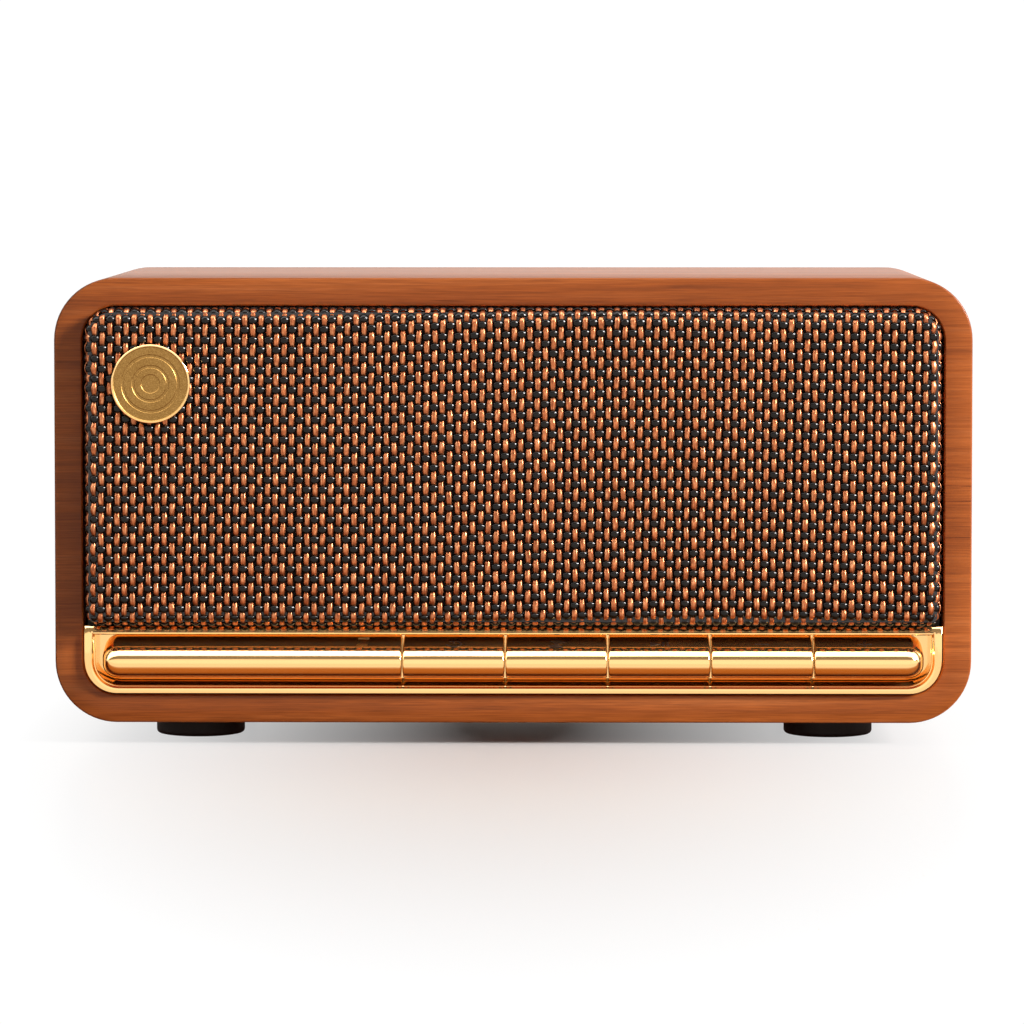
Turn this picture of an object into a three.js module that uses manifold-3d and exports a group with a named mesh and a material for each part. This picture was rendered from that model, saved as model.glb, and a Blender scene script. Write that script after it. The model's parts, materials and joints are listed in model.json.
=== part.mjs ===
// Tabletop radio-styled wireless speaker: wooden sleeve, woven grille, gilt key strip, two small
// full-range drivers and a passive radiator. Millimetres, +Z up, the front faces -Y, and the
// origin is at the centre of the footprint, on the surface the feet stand on.
import * as THREE from 'three';
import { mergeVertices } from 'three/addons/utils/BufferGeometryUtils.js';
import Module from 'manifold-3d';

const wasm = await Module();
wasm.setup();

// ---------------------------------------------------------------- driving dimensions

const width = 163;
const sleeveHeight = 79.2;
const sleeveDepth = 76;
const sleeveWall = 5;
const sleeveCorner = 11;
const footHeight = 4;
const footRadius = 8;
const footX = 57;
const footInset = 19.8;

const grilleProud = 4;
const badgeProud = 0.8;
const badgeRadius = 7;
const badgeX = -64;
const badgeZ = 64.6;
const clothThickness = 0.5;

const bezelProud = 1;
const bezelHeight = 12;
const troughHalfWidth = 74.3;
const troughBottom = 10.7;
const troughTop = 19.75;
const troughDepth = 4;

const keyStripHalfWidth = 73;
const firstKeyX = -19.5;
const keyPitch = 18.25;
const keyGap = 0.25;

const driverX = 38;
const driverRadius = 25;

const gap = 0.3;
const fineGap = 0.15;

// places worked out from them
const totalDepth = sleeveDepth + grilleProud + badgeProud;
const frontY = -totalDepth / 2 + badgeProud + grilleProud;
const backY = totalDepth / 2;
const sleeveTop = footHeight + sleeveHeight;
const openingHalfWidth = width / 2 - sleeveWall;
const openingBottom = footHeight + sleeveWall;
const openingTop = sleeveTop - sleeveWall;
const openingCorner = sleeveCorner - sleeveWall;
const bezelBottom = openingBottom + gap - 0.05;
const bezelTop = bezelBottom + bezelHeight;
const grilleBottom = bezelTop + gap - 0.05;
const grilleTop = openingTop - 0.2;
const grilleHalfWidth = openingHalfWidth - 0.5;
const driverZ = (grilleBottom + grilleTop) / 2;
const keyCount = 5;

// depth behind the sleeve's front plane
const behind = (depth) => frontY + depth;

// ---------------------------------------------------------------- shape helpers

const wood = { color: 0xa8592b, roughness: 0.5, metalness: 0 };
const blackAbs = { color: 0x17171a, roughness: 0.6, metalness: 0 };
const gilt = { color: 0xd8a45c, roughness: 0.12, metalness: 1 };
const satinGilt = { color: 0xc79a55, roughness: 0.38, metalness: 1 };
const clothLook = { color: 0x7b4f3a, roughness: 0.6, metalness: 0.2 };
const darkRubber = { color: 0x241510, roughness: 0.85, metalness: 0 };
const blackRubber = { color: 0x101012, roughness: 0.8, metalness: 0 };
const steel = { color: 0x9a9ca0, roughness: 0.35, metalness: 1 };
const zinc = { color: 0x777a80, roughness: 0.4, metalness: 1 };
const ferrite = { color: 0x26272b, roughness: 0.7, metalness: 0.2 };
const paper = { color: 0x1d1d20, roughness: 0.9, metalness: 0 };
const copper = { color: 0xb87346, roughness: 0.4, metalness: 1 };
const resinCloth = { color: 0xc09a54, roughness: 0.9, metalness: 0 };
const boardGreen = { color: 0x17492b, roughness: 0.55, metalness: 0 };
const clearLens = { color: 0xf4f4f0, roughness: 0.2, metalness: 0 };
const cellWrap = { color: 0x2f6fb0, roughness: 0.45, metalness: 0 };
const cableGrey = { color: 0x8d8f94, roughness: 0.6, metalness: 0 };
const cableRed = { color: 0x9c2320, roughness: 0.6, metalness: 0 };

const model = new THREE.Group();
model.name = 'wireless_speaker';

function place(name, geometry, look) {
  const mesh = new THREE.Mesh(geometry, new THREE.MeshStandardMaterial(look));
  mesh.name = name;
  model.add(mesh);
}

// A geometry as a closed solid that can be joined and cut.
function solid(geometry) {
  const bare = geometry.index ? geometry.toNonIndexed() : geometry.clone();
  bare.deleteAttribute('normal');
  bare.deleteAttribute('uv');
  const merged = mergeVertices(bare, 1e-4);
  const corners = [];
  const index = merged.index.array;
  for (let i = 0; i < index.length; i += 3) {
    const [a, b, c] = [index[i], index[i + 1], index[i + 2]];
    if (a !== b && b !== c && c !== a) corners.push(a, b, c);
  }
  const mesh = new wasm.Mesh({
    numProp: 3,
    vertProperties: new Float32Array(merged.attributes.position.array),
    triVerts: new Uint32Array(corners),
  });
  return new wasm.Manifold(mesh);
}

function geometryOf(body) {
  const mesh = body.getMesh();
  const geometry = new THREE.BufferGeometry();
  geometry.setAttribute('position', new THREE.BufferAttribute(mesh.vertProperties, 3));
  geometry.setIndex(new THREE.BufferAttribute(mesh.triVerts, 1));
  return geometry;
}

const joined = (...geometries) => geometries.map(solid).reduce((a, b) => a.add(b));

function cut(body, ...tools) {
  return tools.map(solid).reduce((rest, tool) => rest.subtract(tool), body);
}

function box([x0, x1], [y0, y1], [z0, z1]) {
  const geometry = new THREE.BoxGeometry(x1 - x0, y1 - y0, z1 - z0);
  return geometry.translate((x0 + x1) / 2, (y0 + y1) / 2, (z0 + z1) / 2);
}

// A rectangle in the front view with its own radius at the bottom and top corners.
function frontOutline(x0, x1, z0, z1, bottomRadius, topRadius, Kind = THREE.Shape) {
  const outline = new Kind();
  outline.moveTo(x0 + bottomRadius, z0);
  outline.lineTo(x1 - bottomRadius, z0);
  outline.absarc(x1 - bottomRadius, z0 + bottomRadius, bottomRadius, -Math.PI / 2, 0);
  outline.lineTo(x1, z1 - topRadius);
  outline.absarc(x1 - topRadius, z1 - topRadius, topRadius, 0, Math.PI / 2);
  outline.lineTo(x0 + topRadius, z1);
  outline.absarc(x0 + topRadius, z1 - topRadius, topRadius, Math.PI / 2, Math.PI);
  outline.lineTo(x0, z0 + bottomRadius);
  outline.absarc(x0 + bottomRadius, z0 + bottomRadius, bottomRadius, Math.PI, 1.5 * Math.PI);
  return outline;
}

function racetrack(length, height, z, Kind = THREE.Shape) {
  const r = height / 2;
  return frontOutline(-length / 2, length / 2, z - r, z + r, r - 0.01, r - 0.01, Kind);
}

// Front-view outline pushed back from y0 to y1.
function alongY(outline, y0, y1, curveSegments = 6) {
  const depth = y1 - y0;
  const geometry = new THREE.ExtrudeGeometry(outline, { depth, bevelEnabled: false, curveSegments });
  return geometry.rotateX(Math.PI / 2).translate(0, y1, 0);
}

// Side-view section, drawn in (y, z), pushed from x0 to x1.
function alongX(section, x0, x1, curveSegments = 6) {
  const depth = x1 - x0;
  const geometry = new THREE.ExtrudeGeometry(section, { depth, bevelEnabled: false, curveSegments });
  const toSide = new THREE.Matrix4().makeBasis(
    new THREE.Vector3(0, 1, 0),
    new THREE.Vector3(0, 0, 1),
    new THREE.Vector3(1, 0, 0),
  );
  return geometry.applyMatrix4(toSide).translate(x0, 0, 0);
}

// A turned piece about an axis along Y through (x, z); the profile is a list of [radius, y].
function turned(profile, x, z, segments = 24) {
  const points = profile.map(([radius, y]) => new THREE.Vector2(radius, y));
  const first = points[0];
  const last = points[points.length - 1];
  if (first.x > 0 || last.x > 0) points.push(first.clone());
  if (THREE.ShapeUtils.area(points) < 0) points.reverse();
  return new THREE.LatheGeometry(points, segments).translate(x, 0, z);
}

function discY(radius, y0, y1, x, z, segments = 24) {
  return turned([[0, y0], [radius, y0], [radius, y1], [0, y1]], x, z, segments);
}

function barX(radius, x0, x1, y, z, segments = 16) {
  const geometry = new THREE.CylinderGeometry(radius, radius, x1 - x0, segments);
  return geometry.rotateZ(Math.PI / 2).translate((x0 + x1) / 2, y, z);
}

function discZ(radius, z0, z1, x, y, segments = 32) {
  const geometry = new THREE.CylinderGeometry(radius, radius, z1 - z0, segments);
  return geometry.rotateX(Math.PI / 2).translate(x, y, (z0 + z1) / 2);
}

function lead(points, radius, steps) {
  const route = new THREE.CatmullRomCurve3(points.map((p) => new THREE.Vector3(...p)));
  const section = new THREE.Shape().absarc(0, 0, radius, 0, 2 * Math.PI);
  const settings = { steps, extrudePath: route, curveSegments: 3, bevelEnabled: false };
  return new THREE.ExtrudeGeometry(section, settings);
}

// ---------------------------------------------------------------- sleeve, feet and rear

const blockSize = 11;
const blockDepth = 14;
const panelDepth = 2.7;
const panelInset = 0.8;
const panelBackY = backY - panelInset;
const panelFrontY = panelBackY - panelDepth;
const screwX = openingHalfWidth - 6;
const screwLowZ = openingBottom + 6;
const screwHighZ = openingTop - 6;
const screwPlaces = [
  ['rear_screw_low_left', -screwX, screwLowZ],
  ['rear_screw_low_right', screwX, screwLowZ],
  ['rear_screw_high_left', -screwX, screwHighZ],
  ['rear_screw_high_right', screwX, screwHighZ],
];
const screwHeadRadius = 2.2;
const screwHeadDepth = 1.2;
const screwShankRadius = 1.1;
const screwSides = 10;
const screwLength = 10;

// The sleeve is a closed band of veneered board with a glue block in each rear corner.
function makeSleeve() {
  const half = width / 2;
  const arcSteps = 10;
  const outer = () => frontOutline(-half, half, footHeight, sleeveTop, sleeveCorner, sleeveCorner);
  const band = outer();
  band.holes.push(frontOutline(-openingHalfWidth, openingHalfWidth, openingBottom, openingTop,
    openingCorner, openingCorner, THREE.Path));
  const blockBackY = panelFrontY - gap;
  const blocks = screwPlaces.map(([, x, z]) => {
    const xs = x > 0 ? [openingHalfWidth - blockSize, half] : [-half, blockSize - openingHalfWidth];
    const zs = z > driverZ ? [openingTop - blockSize, sleeveTop] : [footHeight, openingBottom + blockSize];
    return box(xs, [blockBackY - blockDepth, blockBackY], zs);
  });
  const pilotSpan = [blockBackY - blockDepth + 2, blockBackY + 1];
  const pilots = screwPlaces.map(([, x, z]) => discY(screwShankRadius + gap, ...pilotSpan, x, z, screwSides));
  const whole = joined(alongY(band, frontY, backY, arcSteps), ...blocks)
    .intersect(solid(alongY(outer(), frontY, backY, arcSteps)));
  place('cabinet_shell', geometryOf(cut(whole, ...pilots)), wood);
}

function makeFeet() {
  const seat = 0.05;
  const rows = [['front', frontY + footInset], ['rear', backY - footInset]];
  for (const [row, y] of rows) {
    for (const [side, x] of [['left', -footX], ['right', footX]]) {
      place(`foot_${row}_${side}`, discZ(footRadius, 0, footHeight - seat, x, y), darkRubber);
    }
  }
}

const radiatorZ = 51;
const radiatorLength = 84;
const radiatorHeight = 40;
const radiatorLip = 3;
const rollWidth = 8;
const rollRise = 2.4;
const rubberThickness = 1.2;
const plateThickness = 3;
const portZ = 16.5;
const usbX = -22;
const auxX = 0;
const cardX = 22;

function makeRearPanel() {
  const halfX = openingHalfWidth - gap;
  const outline = frontOutline(-halfX, halfX, openingBottom + gap, openingTop - gap,
    openingCorner - gap, openingCorner - gap);
  outline.holes.push(racetrack(radiatorLength - 2 * radiatorLip, radiatorHeight - 2 * radiatorLip,
    radiatorZ, THREE.Path));
  const panel = solid(alongY(outline, panelFrontY, panelBackY));
  const through = [panelFrontY - 1, panelBackY + 1];
  const tools = [
    box([usbX - 5, usbX + 5], through, [portZ - 2.1, portZ + 2.1]),
    discY(3.4, ...through, auxX, portZ, 20),
    box([cardX - 6.6, cardX + 6.6], through, [portZ - 1.4, portZ + 1.4]),
  ];
  for (const [, x, z] of screwPlaces) {
    tools.push(discY(screwShankRadius + gap, ...through, x, z, screwSides));
    tools.push(discY(screwHeadRadius + gap, panelBackY - screwHeadDepth, panelBackY + 1, x, z, screwSides));
  }
  place('rear_panel', geometryOf(cut(panel, ...tools)), blackAbs);
}

function makeRearScrews() {
  for (const [name, x, z] of screwPlaces) {
    const headY = panelBackY - screwHeadDepth + fineGap;
    const profile = [
      [0, headY + screwHeadDepth],
      [screwHeadRadius - 0.5, headY + screwHeadDepth],
      [screwHeadRadius, headY + screwHeadDepth / 2],
      [screwHeadRadius, headY],
      [screwShankRadius, headY],
      [screwShankRadius, headY - screwLength],
      [0, headY - screwLength - 1],
    ];
    place(name, turned(profile, x, z, screwSides), zinc);
  }
}

// The passive radiator: a rubber roll round a weighted plate that moves in and out.
function makeRadiator() {
  const footBackY = panelFrontY - gap;
  const foot = racetrack(radiatorLength, radiatorHeight, radiatorZ);
  const innerLength = radiatorLength - 2 * rollWidth;
  const innerHeight = radiatorHeight - 2 * rollWidth;
  foot.holes.push(racetrack(innerLength, innerHeight, radiatorZ, THREE.Path));
  const rollInset = 2 * (radiatorLip + gap + 0.3);
  const roll = racetrack(radiatorLength - rollInset, radiatorHeight - rollInset, radiatorZ);
  roll.holes.push(racetrack(innerLength + 2, innerHeight + 2, radiatorZ, THREE.Path));
  const surround = joined(
    alongY(foot, footBackY - rubberThickness, footBackY),
    alongY(roll, footBackY - rubberThickness / 2, footBackY + rollRise),
  );
  place('radiator_surround', geometryOf(surround), blackRubber);
  const plate = racetrack(innerLength - 2 * gap, innerHeight - 2 * gap, radiatorZ);
  const plateBackY = footBackY + rollRise / 2;
  place('radiator_plate', alongY(plate, plateBackY - plateThickness, plateBackY), blackAbs);
}

// ---------------------------------------------------------------- grille and badge

const frameInset = clothThickness + gap;
const frameBorder = 4;
const frameBack = 5;
const ribHalfWidth = 3;
const pegRadius = 1.5;
const pegSides = 10;
const grilleCorner = 5;
const pegX = grilleHalfWidth - 3;
const pegPlaces = [
  [-pegX, grilleBottom + 5],
  [pegX, grilleBottom + 5],
  [-pegX, grilleTop - 5],
  [pegX, grilleTop - 5],
];

function makeGrille() {
  const halfX = grilleHalfWidth - frameInset;
  const z0 = grilleBottom + frameInset;
  const z1 = grilleTop - frameInset;
  const cornerRadius = grilleCorner - frameInset;
  const frame = frontOutline(-halfX, halfX, z0, z1, 1, cornerRadius);
  const windowZ = [z0 + frameBorder, z1 - frameBorder];
  frame.holes.push(frontOutline(-halfX + frameBorder, -ribHalfWidth, ...windowZ, 2, 2, THREE.Path));
  frame.holes.push(frontOutline(ribHalfWidth, halfX - frameBorder, ...windowZ, 2, 2, THREE.Path));
  const frontFace = -grilleProud + frameInset;
  const pegSpan = [behind(frameBack - 1), behind(frameBack + 2.6)];
  const pegs = pegPlaces.map(([x, z]) => discY(pegRadius, ...pegSpan, x, z, pegSides));
  const body = joined(alongY(frame, behind(frontFace), behind(frameBack)), ...pegs);
  place('grille_frame', geometryOf(body), blackAbs);

  const outer = frontOutline(-grilleHalfWidth, grilleHalfWidth, grilleBottom, grilleTop, 1.5, grilleCorner);
  const inset = clothThickness;
  const inner = frontOutline(-grilleHalfWidth + inset, grilleHalfWidth - inset, grilleBottom + inset,
    grilleTop - inset, 1.2, grilleCorner - inset);
  const clothBack = 2;
  const tray = solid(alongY(outer, behind(-grilleProud), behind(clothBack), 8))
    .subtract(solid(alongY(inner, behind(-grilleProud + clothThickness), behind(clothBack + 1), 8)));
  place('grille_cloth', geometryOf(tray), clothLook);
}

function makeBadge() {
  const faceY = behind(-grilleProud - badgeProud);
  const rimDepth = 0.15;
  const profile = [
    [0, faceY + rimDepth],
    [badgeRadius - 0.7, faceY + rimDepth],
    [badgeRadius - 0.5, faceY],
    [badgeRadius - 0.2, faceY],
    [badgeRadius, faceY + 0.2],
    [badgeRadius, behind(-grilleProud) - 0.05],
    [0, behind(-grilleProud) - 0.05],
  ];
  place('badge', turned(profile, badgeX, badgeZ, 48), satinGilt);
}

// ---------------------------------------------------------------- baffle

const baffleFront = 5.3;
const baffleBack = 8.3;
const skirtBack = 14;
const driverHoleRadius = 23;
const armHalfWidth = 3;
const armBottom = 15.2;
const armTop = 17.6;
const slotBottom = armBottom - 0.9;
const slotTop = armTop + 0.5;
const pivotDepth = 18;
const pivotZ = 16.4;
const pivotRadius = 1;
const bossRadius = 2.4;
const cheekWidth = 2.4;
const keyBoardBack = pivotDepth - 2.6;

const keyNames = ['power_key', 'source_key', 'play_key', 'volume_down_key', 'volume_up_key'];
const keys = keyNames.map((name, i) => {
  const x0 = firstKeyX + i * keyPitch;
  const x1 = i === keyCount - 1 ? keyStripHalfWidth : x0 + keyPitch - keyGap;
  return { name, x0, x1, armX: x0 + (keyPitch - keyGap) / 2, number: i + 1 };
});
const cheekXs = [...keys.map((key) => key.armX - keyPitch / 2), keys[keyCount - 1].armX + keyPitch / 2];
const tabXs = [-60, -34];
const tabHalfWidth = 3;
const tabBottom = 14;
const tabTop = 17;

// The holes that the key arms and the bar's tabs pass through.
function slots(y0, y1) {
  const keySlots = keys.map(({ armX }) => box(
    [armX - armHalfWidth - gap, armX + armHalfWidth + gap], [y0, y1], [slotBottom, slotTop]));
  const tabSlots = tabXs.map((x) => box(
    [x - tabHalfWidth - gap, x + tabHalfWidth + gap], [y0, y1], [tabBottom - gap, tabTop + gap]));
  return [...keySlots, ...tabSlots];
}

function makeBaffle() {
  const halfX = openingHalfWidth - gap;
  const z0 = openingBottom + gap;
  const z1 = openingTop - gap;
  const radius = openingCorner - gap;
  const plate = frontOutline(-halfX, halfX, z0, z1, radius, radius);
  const skirt = frontOutline(-halfX, halfX, z0, z1, radius, radius);
  skirt.holes.push(frontOutline(-halfX + 2, halfX - 2, z0 + 1, z1 - 2, radius - 2, radius - 2, THREE.Path));
  const cheeks = cheekXs.map((x) => box([x - cheekWidth / 2, x + cheekWidth / 2],
    [behind(baffleBack - 1), behind(pivotDepth + bossRadius)], [pivotZ - bossRadius, pivotZ + bossRadius]));
  const body = joined(
    alongY(plate, behind(baffleFront), behind(baffleBack)),
    alongY(skirt, behind(baffleBack - 1), behind(skirtBack)),
    ...cheeks,
  );
  const through = [behind(baffleFront - 1), behind(baffleBack + 1)];
  const pegHole = [behind(baffleFront - 1), behind(baffleBack - 0.2)];
  const tools = [
    discY(driverHoleRadius, ...through, -driverX, driverZ, 28),
    discY(driverHoleRadius, ...through, driverX, driverZ, 28),
    ...slots(behind(baffleFront - 1), behind(baffleBack + 0.6)),
    ...pegPlaces.map(([x, z]) => discY(pegRadius + gap, ...pegHole, x, z, pegSides)),
    barX(pivotRadius + fineGap, cheekXs[0] - 5, cheekXs[keyCount] + 5, behind(pivotDepth), pivotZ, 16),
  ];
  place('front_baffle', geometryOf(cut(body, ...tools)), blackAbs);
}

// ---------------------------------------------------------------- key strip

function makeBezel() {
  const halfX = openingHalfWidth - gap + 0.05;
  const cornerRadius = openingCorner - gap + 0.05;
  const rim = frontOutline(-halfX, halfX, bezelBottom, bezelTop, cornerRadius, 0.8);
  const tray = alongY(rim, behind(-bezelProud), behind(troughDepth + 1), 8);
  const trough = frontOutline(-troughHalfWidth, troughHalfWidth, troughBottom, troughTop, 3.9, 1.2);
  const hollow = alongY(trough, behind(-bezelProud - 1), behind(troughDepth), 8);
  const body = cut(solid(tray), hollow, ...slots(behind(troughDepth - 1), behind(troughDepth + 2)));
  place('key_bezel', geometryOf(body), gilt);
}

// The key section, seen from the side: a sloping top, a full nose and an undercut back.
const keyBack = 3.6;
const keyNose = -grilleProud;
const keyBottom = 11.7;
const keyTop = 18.95;
const keyCorner = 0.55;
const endCorner = 1.8;
const keySection = new THREE.Shape();
keySection.moveTo(behind(keyBack), 12.8);
keySection.lineTo(behind(keyBack), keyTop);
keySection.lineTo(behind(-1.9), 17.3);
keySection.bezierCurveTo(behind(-3.3), 16.9, behind(keyNose), 16.1, behind(keyNose), 15);
keySection.bezierCurveTo(behind(keyNose), 13.3, behind(-2.4), keyBottom, behind(-0.2), keyBottom);
keySection.lineTo(behind(keyBack), 12.8);

// A key or bar body: the section, with the front view's corners rounded.
function keyBody(x0, x1, leftRadius, rightRadius) {
  const block = solid(alongX(keySection, x0, x1));
  const span = [behind(keyNose - 1), behind(keyBack + 1)];
  const past = 5;
  const [z0, z1] = [keyBottom - 0.1, keyTop + 0.1];
  const left = alongY(frontOutline(x0, x1 + past, z0, z1, leftRadius, leftRadius), ...span, 4);
  const right = alongY(frontOutline(x0 - past, x1, z0, z1, rightRadius, rightRadius), ...span, 4);
  return block.intersect(solid(left)).intersect(solid(right));
}

// Each key has an arm that runs back through the trough to a boss on the pivot rod.
function makeKeys() {
  for (const { name, x0, x1, armX, number } of keys) {
    const body = keyBody(x0, x1, keyCorner, number === keyCount ? endCorner : keyCorner);
    const span = [armX - armHalfWidth, armX + armHalfWidth];
    const arm = box(span, [behind(keyBack - 1), behind(pivotDepth)], [armBottom, armTop]);
    const boss = barX(bossRadius, ...span, behind(pivotDepth), pivotZ);
    const bore = barX(pivotRadius + fineGap, span[0] - 1, span[1] + 1, behind(pivotDepth), pivotZ);
    place(name, geometryOf(cut(body.add(solid(arm)).add(solid(boss)), bore)), gilt);
  }
}

const lensX = -26.6;
const lensHalfWidth = 1;
const lensFront = 1.5;
const lensBack = 2.2;
const lensBottom = 16.6;
const lensTop = 18.4;

function makeFixedBar() {
  const body = keyBody(-keyStripHalfWidth, firstKeyX - keyGap, endCorner, keyCorner);
  const tabSpan = [behind(keyBack - 1), behind(baffleBack - 0.5)];
  const tabs = tabXs.map((x) => box([x - tabHalfWidth, x + tabHalfWidth], tabSpan, [tabBottom, tabTop]));
  const whole = tabs.reduce((rest, tab) => rest.add(solid(tab)), body);
  const pocket = box([lensX - lensHalfWidth - fineGap, lensX + lensHalfWidth + fineGap],
    [behind(lensFront - fineGap), behind(lensBack + fineGap)], [lensBottom - fineGap, keyTop + 1]);
  place('fixed_bar', geometryOf(cut(whole, pocket)), gilt);
  const lens = box([lensX - lensHalfWidth, lensX + lensHalfWidth],
    [behind(lensFront), behind(lensBack)], [lensBottom, lensTop]);
  place('indicator_lens', lens, clearLens);
}

function makePivotRod() {
  const rod = barX(pivotRadius, cheekXs[0] - 2, cheekXs[keyCount] + 2, behind(pivotDepth), pivotZ, 20);
  place('key_pivot_rod', rod, steel);
}

const keyBoardZ = [10.6, 11.8];
const keyBoardMargin = 6;
const switchDepth = 11.2;
const switchHalf = 2.4;
const switchTop = 14;
const plungerRadius = 1.5;
const plungerTop = armBottom - 0.05;
const plungerSides = 16;

function makeSwitches() {
  const boardX = [keys[0].armX - keyBoardMargin, keys[keyCount - 1].armX + keyBoardMargin];
  place('key_board', box(boardX, [behind(baffleBack + gap), behind(keyBoardBack)], keyBoardZ), boardGreen);
  const y = behind(switchDepth);
  for (const { armX, number } of keys) {
    const body = solid(box([armX - switchHalf, armX + switchHalf], [y - switchHalf, y + switchHalf],
      [keyBoardZ[1] + 0.1, switchTop]));
    const well = discZ(plungerRadius + gap, switchTop - 1.5, switchTop + 1, armX, y, plungerSides);
    place(`key_switch_${number}`, geometryOf(cut(body, well)), blackAbs);
    const plunger = discZ(plungerRadius, switchTop - 1, plungerTop, armX, y, plungerSides);
    place(`switch_plunger_${number}`, plunger, cableGrey);
  }
}

// ---------------------------------------------------------------- drivers

const flangeFront = 9.3;
const flangeBack = 10.3;
const topPlateFront = 22;
const topPlateBack = 24.5;
const magnetBack = 30;
const yokeBack = 32.5;
const coneRim = 17.8;

function makeDriver(side, x) {
  const name = (piece) => `driver_${side}_${piece}`;
  const shaped = (profile) => turned(profile.map(([r, depth]) => [r, behind(depth)]), x, driverZ);

  const basket = solid(shaped([
    [22, flangeFront], [driverRadius, flangeFront], [driverRadius, flangeBack], [22.4, flangeBack],
    [16, topPlateFront + 0.8], [16, topPlateBack], [6.7, topPlateBack], [6.7, topPlateFront],
    [15.2, topPlateFront], [21.4, flangeBack],
  ]));
  const windowSpan = [behind(flangeBack + 2), behind(topPlateFront - 2)];
  const windows = [
    box([x - 30, x + 30], windowSpan, [driverZ - 7, driverZ + 7]),
    box([x - 7, x + 7], windowSpan, [driverZ - 30, driverZ + 30]),
  ];
  place(name('basket'), geometryOf(cut(basket, ...windows)), steel);

  place(name('magnet'), shaped([
    [8, topPlateBack + gap], [15.5, topPlateBack + gap], [15.5, magnetBack], [8, magnetBack],
  ]), ferrite);
  place(name('yoke'), shaped([
    [0, topPlateFront - 1], [5.4, topPlateFront - 1], [5.4, magnetBack + gap], [14.5, magnetBack + gap],
    [14.5, yokeBack], [0, yokeBack],
  ]), zinc);
  place(name('surround'), shaped([
    [18.1, 8.8], [19, 7.4], [21.2, 7.4], [22.2, 8.6], [24.4, 8.6], [24.4, 9.1], [21.8, 9.1], [20.8, 8],
    [19.4, 8], [18.5, 9.3], [18.1, 9.3],
  ]), blackRubber);
  place(name('cone'), shaped([
    [0, 10.4], [3, 10.8], [5.4, 11.9], [6.8, 13.3], [coneRim, 8.9], [coneRim, 9.5], [7, 14], [5.2, 12.6],
    [2.8, 11.4], [0, 11],
  ]), paper);
  place(name('voice_coil'), shaped([
    [5.75, 14.3], [6.3, 14.3], [6.3, 25.5], [5.75, 25.5],
  ]), copper);
  place(name('spider'), shaped([
    [6.7, 17.4], [9, 17], [12, 17.4], [15.6, 17], [15.6, 17.5], [12, 17.9], [9, 17.5], [6.7, 17.9],
  ]), resinCloth);
}

// ---------------------------------------------------------------- power and electronics

const cellRadius = 9.2;
const cellHalfLength = 32.5;
const cellY = 6;
const cellZ = 21;
const trayHalfX = 35;
const trayHalfY = 11;
const ribbonX = 57;
const ribbonHalfWidth = 4.5;
const ribbonZ = [11.1, 11.6];
const boardHalfX = 64;
const boardFrontY = 20.5;
const boardTop = 12.4;
const boardBottom = 11;
const boardBackY = panelFrontY - gap;

function makeBattery() {
  const sides = 32;
  place('battery_cell', barX(cellRadius, -cellHalfLength, cellHalfLength, cellY, cellZ, sides), cellWrap);
  const cradle = box([-trayHalfX, trayHalfX], [cellY - trayHalfY, cellY + trayHalfY],
    [openingBottom + gap, cellZ - 1]);
  const seat = barX(cellRadius + gap, -cellHalfLength - gap, cellHalfLength + gap, cellY, cellZ, sides);
  place('battery_tray', geometryOf(cut(solid(cradle), seat)), blackAbs);
}

function makeMainBoard() {
  const board = box([-boardHalfX, boardHalfX], [boardFrontY, boardBackY], [boardBottom, boardTop]);
  place('main_board', board, boardGreen);
  const seat = boardTop + 0.1;
  const mouthY = panelBackY - 0.7;

  const usb = solid(box([usbX - 4.5, usbX + 4.5], [mouthY - 7.5, mouthY], [portZ - 1.7, portZ + 1.7]))
    .add(solid(box([usbX - 4, usbX + 4], [mouthY - 7, boardBackY - 0.5], [seat, portZ])));
  const usbMouth = box([usbX - 4.1, usbX + 4.1], [mouthY - 6, mouthY + 1], [portZ - 1.3, portZ + 1.3]);
  place('usb_socket', geometryOf(cut(usb, usbMouth)), steel);

  const aux = solid(discY(3.1, mouthY - 4, mouthY, auxX, portZ, 20))
    .add(solid(box([auxX - 3, auxX + 3], [boardBackY - 13, boardBackY - 0.5], [seat, portZ + 3])));
  place('aux_socket', geometryOf(cut(aux, discY(1.8, mouthY - 12, mouthY + 1, auxX, portZ, 16))), blackAbs);

  const card = solid(box([cardX - 6.3, cardX + 6.3], [mouthY - 12, mouthY], [portZ - 1.1, portZ + 1.1]))
    .add(solid(box([cardX - 6, cardX + 6], [mouthY - 11.5, boardBackY - 0.5], [seat, portZ])));
  const cardMouth = box([cardX - 5.7, cardX + 5.7], [mouthY - 11, mouthY + 1], [portZ - 0.5, portZ + 0.5]);
  place('card_socket', geometryOf(cut(card, cardMouth)), steel);
}

function makeWiring() {
  const ribbon = box([ribbonX - ribbonHalfWidth, ribbonX + ribbonHalfWidth],
    [behind(keyBoardBack) + gap, boardFrontY - gap], ribbonZ);
  place('key_ribbon', ribbon, cableGrey);
  for (const [side, sign] of [['left', -1], ['right', 1]]) {
    const points = [
      [sign * (driverX + 17), behind(21), driverZ - 10],
      [sign * (driverX + 20), behind(27), driverZ - 16],
      [sign * (driverX + 19), behind(36), driverZ - 27],
      [sign * (driverX + 17), behind(46), 20],
      [sign * (driverX + 16), boardFrontY + 3.5, 16],
      [sign * (driverX + 16), boardFrontY + 4, boardTop + 0.9],
    ];
    place(`speaker_lead_${side}`, lead(points, 0.8, 16), cableRed);
  }
  const batteryRoute = [
    [cellHalfLength + 3.4, cellY, cellZ + 2],
    [cellHalfLength + 6, cellY + 5, cellZ + 2],
    [cellHalfLength + 6.5, cellY + 13, cellZ - 2],
    [cellHalfLength + 6.5, boardFrontY + 3, boardTop + 2],
    [cellHalfLength + 6.5, boardFrontY + 3.4, boardTop + 0.8],
  ];
  place('battery_lead', lead(batteryRoute, 0.7, 10), cableRed);
}

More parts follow.
